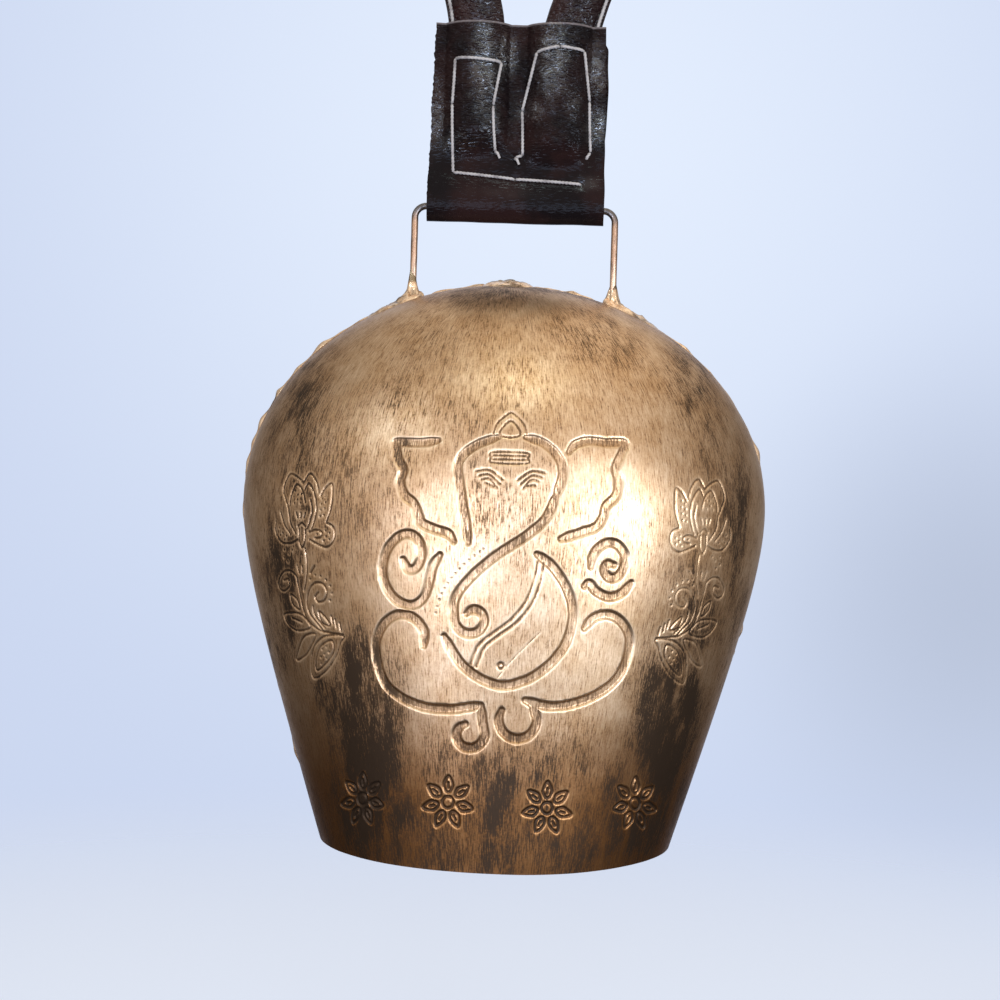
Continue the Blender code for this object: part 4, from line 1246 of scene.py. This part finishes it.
def tab_edges(h, side):
    """Left and right edge of the tab in millimetres at a height; the back flap peeps out on the right."""
    rise = min(max(h / TAB_TOP, 0.0), 1.0)
    peep = 1.3 * smooth((TAB_TOP - 4.0 - h) / 3.0) * smooth((h - 20.0) / 20.0) if side > 0 else 0.0
    left = mix(-31.0, -29.4, rise) + 0.5 * bumpy((0.0, side, 0.1 * h), 1.0, 3.0)
    left += 0.42 * bumpy((0.0, side, h), 1.9, 5.0)
    right = mix(32.6, 31.4, rise) + 0.3 * bumpy((0.0, side, 0.1 * h), 1.0, 9.0)
    return left, right + peep


def tab_point(across, share, inner):
    """A point of one face; share runs from the front's top (0) round the fold to the back's top (1)."""
    side = -1.0 if share < 0.5 else 1.0
    away = abs(share - 0.5) * 2.0
    if away > FOLD_SHARE:
        h = mix(FOLD_TOP, TAB_TOP, (away - FOLD_SHARE) / (1.0 - FOLD_SHARE))
        left, right = tab_edges(h, side)
        x = mix(left, right, across)
        half = tab_half(x, h, side)
        if inner:
            thick = mix(FOLD_HALF - BORE, LEATHER, smooth((h - FOLD_TOP) / 6.0))
            half = max(half - thick, THINNEST)
        h += 0.0 if across not in (0.0, 1.0) else 0.1 * bumpy((x, side, h), 0.9, 4.0)
        return Vector((x * MM, side * half * MM, BAR_Z + h * MM))
    angle = 0.5 * math.pi * away / FOLD_SHARE
    left, right = tab_edges(FOLD_TOP, side)
    x = mix(left, right, across)
    sag = 0.25 * bumpy((0.08 * x, 0.0, 0.0), 1.0, 6.0)
    if inner:
        y = side * BORE * math.sin(angle)
        h = FOLD_TOP * smooth(angle / math.radians(45.0) - 1.0) - BORE * math.cos(angle)
    else:
        y = side * FOLD_HALF * math.sin(angle)
        h = FOLD_TOP - (FOLD_TOP + FOLD_DROP + sag) * math.cos(angle)
    return Vector((x * MM, y * MM, BAR_Z + h * MM))


# %% [markdown]
# The wax shines in upright bands down the right of each roll, along the flaps beside them and in a few
# creases. Each is a soft oval: centre across and above the bar, half sizes in millimetres, and strength.
# %% Waxed places
WAX_PLACES = [
    (-12.0, 50.0, 4.0, 15.0, 1.0), (-4.0, 54.0, 3.0, 6.0, 1.0), (12.6, 53.0, 5.0, 13.0, 1.0),
    (4.6, 34.0, 5.0, 4.0, 0.7), (28.4, 50.0, 3.0, 8.0, 0.9), (28.9, 30.0, 3.4, 6.0, 1.0),
    (-28.5, 32.0, 3.4, 12.0, 0.55), (-20.0, 22.0, 8.0, 3.6, 0.45), (-2.0, 5.0, 14.0, 3.0, 0.22),
    (26.0, 9.0, 5.0, 3.0, 0.35), (-9.0, 30.0, 3.0, 8.0, 0.5), (20.0, 36.0, 3.0, 5.0, 0.4),
]


def wax_at(point):
    x, h = point.x / MM, (point.z - BAR_Z) / MM
    x += 1.6 * bumpy(point, 120.0, 61.0)
    total = strongest(WAX_PLACES, x, h, 0.9)
    return total * (1.0 + 0.6 * bumpy(point, 300.0, 67.0))


# %% [markdown]
# Two sheets, the outer and the inner face, are joined along their open edges into one closed strip. Each
# corner stores how much wax shines there, as "waxed", and the leather's gloss reads it.
# %% Tab mesh
TAB_COLUMNS = 112
TAB_ROWS = 190
bm = bmesh.new()
for inner in (False, True):
    sheet(bm, TAB_COLUMNS, TAB_ROWS, lambda i, j: tab_point(i / TAB_COLUMNS, j / TAB_ROWS, inner))
bridged(bm)
waxed = bm.verts.layers.float.new("waxed")
for corner in bm.verts:
    corner[waxed] = wax_at(corner.co)
finished(bm, "folded_tab", "strap", ["leather_tab"], tab_leather, 50.0)

# %% [markdown]
# ## Strap
# The strap is a strip of leather rolled round a cord, with its two edges sewn together as a flange on the
# outside of the loop. Its ends are pressed flat inside the tab. It is held at both ends, so it is modelled
# along its real path. The knots are the same as in the CAD.
# %% Strap line
LEAN_LEFT = math.radians(5.0)
LEAN_RIGHT = math.radians(13.0)
ROLL_END_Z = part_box("strap_roll")[0].z
ROLL_HALF = 8.4 * MM
up = Vector((0.0, 0.0, 1.0))
leaving = Vector((-math.sin(LEAN_LEFT), 0.0, math.cos(LEAN_LEFT)))
returning = Vector((-math.sin(LEAN_RIGHT), 0.0, -math.cos(LEAN_RIGHT)))
strap_knots = [
    (Vector((-0.0140, 0.0, ROLL_END_Z)), up, 0.0, 0.014),
    (Vector((-0.0137, 0.0, tab_high.z)), leaving, 0.014, 0.020),
    (Vector((-0.0300, 0.0, tab_high.z + 0.066)), up, 0.024, 0.034),
    (Vector((0.0, 0.0, ROLL_HALF)), Vector((1.0, 0.0, 0.0)), 0.017, 0.019),
    (Vector((0.0375, 0.0, tab_high.z + 0.068)), -up, 0.033, 0.022),
    (Vector((0.0183, 0.0, tab_high.z)), returning, 0.020, 0.014),
    (Vector((0.0150, 0.0, ROLL_END_Z)), -up, 0.014, 0.0),
]
strap_points = []
for (start, start_way, _, leave), (end, end_way, arrive, _) in zip(strap_knots, strap_knots[1:]):
    span = interpolate_bezier(start, start + start_way * leave, end - end_way * arrive, end, 41)
    strap_points += span if not strap_points else span[1:]
strap_frames = []
for index, point in enumerate(strap_points):
    ahead = strap_points[min(index + 1, len(strap_points) - 1)]
    behind = strap_points[max(index - 1, 0)]
    along = (ahead - behind).normalized()
    strap_frames.append((point, Vector((-along.z, 0.0, along.x)), BACKWARD))
strap_length = sum((b - a).length for a, b in zip(strap_points, strap_points[1:]))
print("strap centre line", round(strap_length, 3), "m")

# %% [markdown]
# The section is an oval roll with a small sewn flange on its outer side, creased a little by noise.
# %% Strap roll
ROLL_SIDES = 30
FLANGE_HALF = [(0.3, 1.0), (1.3, 1.08), (2.2, 0.95), (2.5, 0.5)]
FLANGE = FLANGE_HALF + [(2.3, 0.0)] + [(across, -rise) for across, rise in FLANGE_HALF[::-1]]
AROUND = ROLL_SIDES + 1 + len(FLANGE)


def roll_halves(point):
    swell = smooth((point.z - tab_high.z + 4.0 * MM) / (30.0 * MM))
    return mix(8.8, 8.4, swell) * MM, mix(3.2, 6.4, swell) * MM


def strap_section(i, j):
    point = strap_frames[j][0]
    half_width, half_depth = roll_halves(point)
    if i <= ROLL_SIDES:
        angle = math.radians(mix(14.0, 346.0, i / ROLL_SIDES))
        x, y = math.cos(angle), math.sin(angle)
        crease = 0.16 * bumpy((3.0 * x, 3.0 * y, 0.13 * j), 1.0, 6.0)
        crease += 0.10 * bumpy((6.0 * x, 6.0 * y, 0.9 * j), 1.0, 15.0)
        squeeze_in = 1.0 + crease * 0.5 * MM / half_depth
        return half_width * x * squeeze_in, -half_depth * y * squeeze_in
    across, rise = FLANGE[i - ROLL_SIDES - 1]
    wave = 0.18 * bumpy((0.0, rise, 0.3 * j), 0.5, 3.0)
    return half_width + (across + wave) * MM, rise * MM * 0.92


strap_mesh = sweep(strap_frames, strap_section, AROUND)
finished(strap_mesh, "rolled_strap", "strap", ["strap_roll"], strap_leather, 50.0)

# %% [markdown]
# ## Thread
# The thread is two twisted plies, waxed and slightly grubby. The twist is real shape: the section is an
# oval that turns as it goes along. Each stitch dives into its hole at both ends.
# %% Thread material
THREAD, GRUBBY, FIBRE_SHADE = (0.37, 0.32, 0.285), (0.20, 0.165, 0.15), (0.25, 0.21, 0.18)
thread, tree, shader = new_material("waxed_thread")
place, _ = own_place(tree)
fibre = grains(tree, place, 5200.0, 2.0)
colour = blended(tree, patchy(tree, place, 240.0, 0.45, 0.72), THREAD, GRUBBY)
colour = blended(tree, ramp(tree, fibre, 0.55, 0.75, 0.0, 0.5), colour, FIBRE_SHADE)
put(tree, shader, Base_Color=colour, Roughness=0.62, Normal=bumped(tree, fibre, 0.5, 0.0001))
put(tree, shader, Sheen_Weight=0.25, Sheen_Roughness=0.5)
print("material", thread.name)

# %% [markdown]
# A stitch's path lies on the tab's face, with a little slack, and dives in at each hole. The short start of
# a thread hangs loose below its first hole.
# %% Stitches
THREAD_SIDES = 10
TWIST = 2.6 * MM
STITCH_RADIUS = 0.56 * MM
FLANGE_THREAD_RADIUS = 0.62 * MM


def twisted(name, points, radius, stands_for):
    """A two-ply thread along points that are a fine step apart."""
    line = carried_frames(points, BACKWARD)
    travelled = [0.0]
    for a, b in zip(points, points[1:]):
        travelled.append(travelled[-1] + (b - a).length)

    def section(i, j):
        angle = around_at(i, THREAD_SIDES)
        turn = around_at(travelled[j], TWIST)
        girth = radius * (0.88 + 0.17 * math.cos(2.0 * (angle - turn)))
        return girth * math.cos(angle), girth * math.sin(angle)

    return finished(sweep(line, section, THREAD_SIDES), name, "strap", [stands_for], thread, 80.0)


def over_tab(x, h, side, lift):
    """A spot above the tab's front or back face."""
    return Vector((x * MM, side * (tab_half(x, h, side) + lift) * MM, BAR_Z + h * MM))


def stitch_points(holes, side):
    """The thread's path over one face of the tab, diving in at every hole."""
    points = []
    x, h = holes[0]
    for share in (0.0, 0.25, 0.5, 0.75):
        tail_x, tail_h = x + 1.6 * (1.0 - share), h - 2.2 * (1.0 - share) ** 2
        points.append(over_tab(tail_x, tail_h, side, 0.5 + 0.7 * math.sin(math.pi * share)))
    for (x0, h0), (x1, h1) in zip(holes, holes[1:]):
        length = math.hypot(x1 - x0, h1 - h0)
        count = max(6, round(length / 0.35))
        for step in range(count):
            share = step / count
            from_hole = min(share, 1.0 - share) * length
            slack = 0.12 * math.sin(math.pi * share) * bumpy((x0, h0, side), 0.7, 4.0)
            x = mix(x0, x1, share) + slack * (h1 - h0) / length * 3.0
            h = mix(h0, h1, share) - slack * (x1 - x0) / length * 3.0
            points.append(over_tab(x, h, side, 0.48 - 1.5 * hump(from_hole, 0.55)))
    points.append(over_tab(*holes[-1], side, -0.8))
    return points


for face, side in (("front", -1.0), ("back", 1.0)):
    for hand, holes in (("left", left_holes), ("right", right_holes)):
        path = stitch_points(holes, side)
        twisted(hand + "_stitches_" + face, path, STITCH_RADIUS, hand + "_tab_thread_" + face)

# %% [markdown]
# Along the strap's flange the thread is laid thicker, in one almost unbroken line that dips a little at
# each hole.
# %% Flange thread
HOLE_STEP = 9.0 * MM
for face, side in (("front", -1.0), ("back", 1.0)):
    path = []
    travelled_along = 0.0
    for index, (point, outward_way, _) in enumerate(strap_frames):
        if index:
            travelled_along += (point - strap_frames[index - 1][0]).length
        dip = 0.35 * hump(math.sin(math.pi * travelled_along / HOLE_STEP), 0.14)
        out = outward_way * (roll_halves(point)[0] + 1.05 * MM)
        path.append(point + out + BACKWARD * side * (1.5 - dip) * MM)
    dense = []
    for a, b in zip(path, path[1:]):
        dense += [a.lerp(b, share / 4.0) for share in range(4)]
    dense.append(path[-1])
    twisted("flange_thread_" + face, dense, FLANGE_THREAD_RADIUS, "strap_seam_thread_" + face)

# %% [markdown]
# ## Clapper
# Inside hang a wire staple, a ring, and a rod with a bent eye and an iron bob. They are forged iron: dark
# scale, brown rust in patches and small hammer marks.
# %% Iron material
SCALE, RUST = (0.075, 0.068, 0.062), (0.13, 0.062, 0.035)
iron, tree, shader = new_material("forged_iron")
place, _ = own_place(tree)
rust = patchy(tree, place, 160.0, 0.48, 0.66)
hammered = bumped(tree, patchy(tree, place, 260.0, 0.2, 0.8), 0.5, 0.0005)
put(tree, shader, Base_Color=blended(tree, rust, SCALE, RUST), Normal=hammered)
put(tree, shader, Roughness=ramp(tree, rust, 0.0, 1.0, 0.42, 0.75))
put(tree, shader, Metallic=ramp(tree, rust, 0.0, 1.0, 0.95, 0.35))
print("material", iron.name)

# %% [markdown]
# The staple is a U of wire with its legs up through the crown, and the ring is spun from a small circle.
# %% Staple and ring
WIRE_SIDES = 16


def wire(name, points, radius, body, nodes, thickness=lambda share: 1.0):
    line = carried_frames(points, BACKWARD)

    def section(i, j):
        angle = around_at(i, WIRE_SIDES)
        girth = radius * thickness(j / (len(points) - 1))
        return girth * math.cos(angle), girth * math.sin(angle)

    return finished(sweep(line, section, WIRE_SIDES), name, body, nodes, iron)


staple_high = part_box("clapper_staple")[1]
STAPLE_BEND = 2.4 * MM
staple_z = pivots["link_swing"].z
staple_x = staple_high.x - WIRE_RADIUS
bend_z = staple_z + STAPLE_BEND
staple_points = straight(Vector((-staple_x, 0, staple_high.z)), Vector((-staple_x, 0, bend_z)), 1.0 * MM)
staple_points += arc_points(-staple_x + STAPLE_BEND, bend_z, STAPLE_BEND, 180.0, 270.0, 8)
staple_points += arc_points(staple_x - STAPLE_BEND, bend_z, STAPLE_BEND, 270.0, 360.0, 8)
staple_points.append(Vector((staple_x, 0, staple_high.z)))
wire("staple_wire", staple_points, WIRE_RADIUS, "bell", ["clapper_staple"])

LINK_WIRE = 1.2 * MM
link_low, link_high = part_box("clapper_link")
link_radius = 0.5 * (link_high.z - link_low.z) - LINK_WIRE
link_centre = 0.5 * (link_high.z + link_low.z)
bm = bmesh.new()
ring = bmesh.ops.create_circle(bm, segments=WIRE_SIDES, radius=LINK_WIRE)["verts"]
bmesh.ops.rotate(bm, verts=ring, cent=(0, 0, 0), matrix=Matrix.Rotation(math.radians(90.0), 3, "X"))
bmesh.ops.translate(bm, verts=ring, vec=(0.0, 0.0, link_radius))
bmesh.ops.spin(
    bm, geom=bm.verts[:] + bm.edges[:], cent=(0, 0, 0), axis=(1, 0, 0),
    angle=math.radians(360.0), steps=64, use_merge=True,
)
bmesh.ops.translate(bm, verts=bm.verts, vec=(0.0, 0.0, link_centre))
bmesh.ops.recalc_face_normals(bm, faces=bm.faces)
finished(bm, "link_ring", "clapper_link", ["clapper_link"], iron)

# %% [markdown]
# The rod is one wire: a thick hammered head at the bottom, the straight shank, and the eye bent round at
# the top. The bob is turned from its outline, carried round the rod.
# %% Rod and bob
ROD_RADIUS = 1.5 * MM
EYE_RADIUS = 5.5 * MM
rod_low, rod_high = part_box("clapper_rod")
eye_z = rod_high.z - ROD_RADIUS - EYE_RADIUS
neck = Vector((0.0, 0.0, eye_z - EYE_RADIUS - 3.0 * MM))
rod_points = straight(Vector((0.0, 0.0, rod_low.z)), neck, 1.0 * MM)
rod_points += arc_points(0.0, eye_z, EYE_RADIUS, -72.0, 228.0, 40)
head_share = 1.6 / len(rod_points)
wire(
    "rod_with_eye", rod_points, ROD_RADIUS, "clapper", ["clapper_rod"],
    thickness=lambda share: mix(2.2, 1.0, smooth((share - 0.5 * head_share) / head_share)),
)

bob_low, bob_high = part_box("clapper_bob")
BOB_RADIUS = 0.5 * (bob_high.z - bob_low.z)
BOB_FLAT = 4.5 * MM
BOB_BORE = ROD_RADIUS + 0.1 * MM
BOB_SIDES = 56
bm = bmesh.new()
outline = [(BOB_BORE, -BOB_RADIUS), (BOB_FLAT, -BOB_RADIUS)]
for step in range(1, 24):
    angle = math.radians(-90.0 + 7.5 * step)
    reach = BOB_FLAT * (1.0 - math.cos(angle)) + BOB_RADIUS * math.cos(angle)
    outline.append((reach, BOB_RADIUS * math.sin(angle)))
outline += [(BOB_FLAT, BOB_RADIUS), (BOB_BORE, BOB_RADIUS), (BOB_BORE, -BOB_RADIUS)]


def bob_place(i, j):
    angle = around_at(j % BOB_SIDES, BOB_SIDES)
    reach, rise = outline[i]
    return Vector((reach * math.cos(angle), reach * math.sin(angle), rise))


sheet(bm, len(outline) - 1, BOB_SIDES, bob_place)
bmesh.ops.remove_doubles(bm, verts=bm.verts, dist=1e-7)
bmesh.ops.translate(bm, verts=bm.verts, vec=(0.0, 0.0, 0.5 * (bob_low.z + bob_high.z)))
bmesh.ops.recalc_face_normals(bm, faces=bm.faces)
finished(bm, "iron_bob", "clapper", ["clapper_bob"], iron)

# %% [markdown]
# ## Studio
# The bell hangs over a pale round floor. The floor melts into the void at its edge, and it is clear from
# below, so that one can look up into the mouth.
# %% Floor
FLOOR_Z = MOUTH_Z - 0.22
FLOOR_RADIUS = 1.3
FLOOR_SOLID = 0.35
bm = bmesh.new()
bmesh.ops.create_circle(bm, cap_ends=True, segments=96, radius=FLOOR_RADIUS)
bmesh.ops.translate(bm, verts=bm.verts, vec=(0.0, 0.0, FLOOR_Z))
floor_mesh = bpy.data.meshes.new("floor")
bm.to_mesh(floor_mesh)
bm.free()
floor = bpy.data.objects.new("floor", floor_mesh)
bpy.context.scene.collection.objects.link(floor)
floor_material, floor_tree, floor_shader = new_material("pale_floor")
floor_place, _ = own_place(floor_tree)
floor_far = node(floor_tree, "ShaderNodeVectorMath", {"operation": "LENGTH"}, in0=floor_place)
solid_end, floor_edge = (math.hypot(reach, FLOOR_Z) for reach in (FLOOR_SOLID, FLOOR_RADIUS))
floor_cover = ramp(floor_tree, floor_far.outputs["Value"], solid_end, floor_edge, 1.0, 0.0)
below = node(floor_tree, "ShaderNodeNewGeometry").outputs["Backfacing"]
floor_above = maths(floor_tree, "SUBTRACT", 1.0, below)
floor_cover = maths(floor_tree, "MULTIPLY", floor_cover, floor_above)
put(floor_tree, floor_shader, Base_Color=(0.64, 0.69, 0.80, 1.0), Roughness=0.9, Alpha=floor_cover)
put(floor_tree, floor_shader, Emission_Color=(0.80, 0.88, 1.0, 1.0), Emission_Strength=0.22)
floor_mesh.materials.append(floor_material)
floor.visible_glossy = False
floor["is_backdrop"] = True

# %% [markdown]
# Metal shows what stands round it, so the void has two faces. The camera sees it pale blue-white. The bell
# sees a bright wall in front, dark sides and a dark warm ground, as in a room with one big window.
# %% World
GROUND, SIDES = (0.030, 0.020, 0.014), (0.25, 0.245, 0.245)
WALL_GLOW, BEHIND = (1.03, 0.97, 0.92), (0.62, 0.70, 0.90)
CEILING_LEFT, CEILING_RIGHT = (0.52, 0.50, 0.46), (1.20, 1.12, 1.00)
VOID_BRIGHT, VOID_MIDDLE, VOID_DEEP = (0.775, 0.855, 1.0), (0.605, 0.685, 0.875), (0.50, 0.565, 0.715)
world = bpy.data.worlds.new("studio")
bpy.context.scene.world = world
world.use_nodes = True
sky = world.node_tree
sky_way = node(sky, "ShaderNodeTexCoord").outputs["Generated"]
sky_x, sky_y, sky_z = node(sky, "ShaderNodeSeparateXYZ", Vector=sky_way).outputs[:3]


def between(value, start, end):
    """A ramp between two angles in degrees."""
    return ramp(sky, value, math.radians(start), math.radians(end))


def away_from(way):
    return node(sky, "ShaderNodeVectorMath", {"operation": "DISTANCE"}, in0=sky_way, in1=way).outputs["Value"]


turn = maths(sky, "ABSOLUTE", maths(sky, "ARCTAN2", sky_x, maths(sky, "MULTIPLY", sky_y, -1.0)))
lift = maths(sky, "ARCSINE", sky_z)
above_ground = between(lift, -19.5, -13.0)
wall = maths(sky, "MULTIPLY", between(turn, 112.0, 26.0), above_ground)
reflected = blended(sky, above_ground, GROUND, SIDES)
reflected = blended(sky, wall, reflected, WALL_GLOW)
reflected = blended(sky, between(turn, 140.0, 172.0), reflected, BEHIND)
overhead = blended(sky, ramp(sky, sky_x, -0.9, 0.5), CEILING_LEFT, CEILING_RIGHT)
reflected = blended(sky, between(lift, 22.0, 62.0), reflected, overhead)
seen = blended(sky, ramp(sky, away_from((0.03, 0.95, 0.22)), 0.0, 0.5), VOID_BRIGHT, VOID_MIDDLE)
seen = blended(sky, ramp(sky, away_from((0.31, 0.94, -0.06)), 0.0, 0.22), VOID_DEEP, seen)
camera_ray = node(sky, "ShaderNodeLightPath").outputs["Is Camera Ray"]
sky.links.new(blended(sky, camera_ray, reflected, seen), sky.nodes["Background"].inputs[0])
bpy.context.scene.view_settings.view_transform = "Standard"
print("world:", len(sky.nodes), "nodes")

# %% [markdown]
# The lights stand on a sphere round the bell. Each is given by its bearing from straight in front, its
# height angle, its size and how bright its face is; the power follows from the brightness and the area.
# %% Lights


LIGHT_DISTANCE = 1.0


def soft_light(name, bearing, rise, width, height, brightness, colour):
    """A rectangular soft light that faces the bell; angles in degrees."""
    data = bpy.data.lights.new(name, "AREA")
    data.shape = "RECTANGLE"
    data.size = width
    data.size_y = height
    data.energy = brightness * math.pi * width * height
    data.color = colour
    light = bpy.data.objects.new(name, data)
    bpy.context.scene.collection.objects.link(light)
    turn, lift = math.radians(bearing), math.radians(rise)
    way = Vector((math.sin(turn) * math.cos(lift), -math.cos(turn) * math.cos(lift), math.sin(lift)))
    light.location = HEART + way * LIGHT_DISTANCE
    light.rotation_euler = (-way).to_track_quat("-Z", "Y").to_euler()
    light.visible_camera = False


for settings in (
    ("front_panel", 8.0, -2.0, 0.76, 0.28, 5.4, (0.50, 0.68, 1.0)),
    ("key", 36.0, 1.0, 0.20, 0.26, 27.0, (0.68, 0.81, 1.0)),
    ("left_fill", -20.0, -6.0, 0.15, 0.13, 44.0, (0.62, 0.74, 1.0)),
    ("top_lamp", 5.0, 52.0, 0.17, 0.12, 13.0, (0.80, 1.0, 1.0)),
    ("left_lamp", -44.0, 30.0, 0.10, 0.14, 20.0, (0.60, 0.80, 1.0)),
):
    soft_light(*settings)
print("lights:", len(bpy.data.lights))

# %% [markdown]
# ## Sizes
# How far the finished pieces reach beyond the CAD model's box at its top corner is printed.
# %% Print the growth
low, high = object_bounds()
growth = [round((value - other) / MM, 2) for value, other in zip(high, cad_high)]
print("grows by", growth, "mm at the top corner")
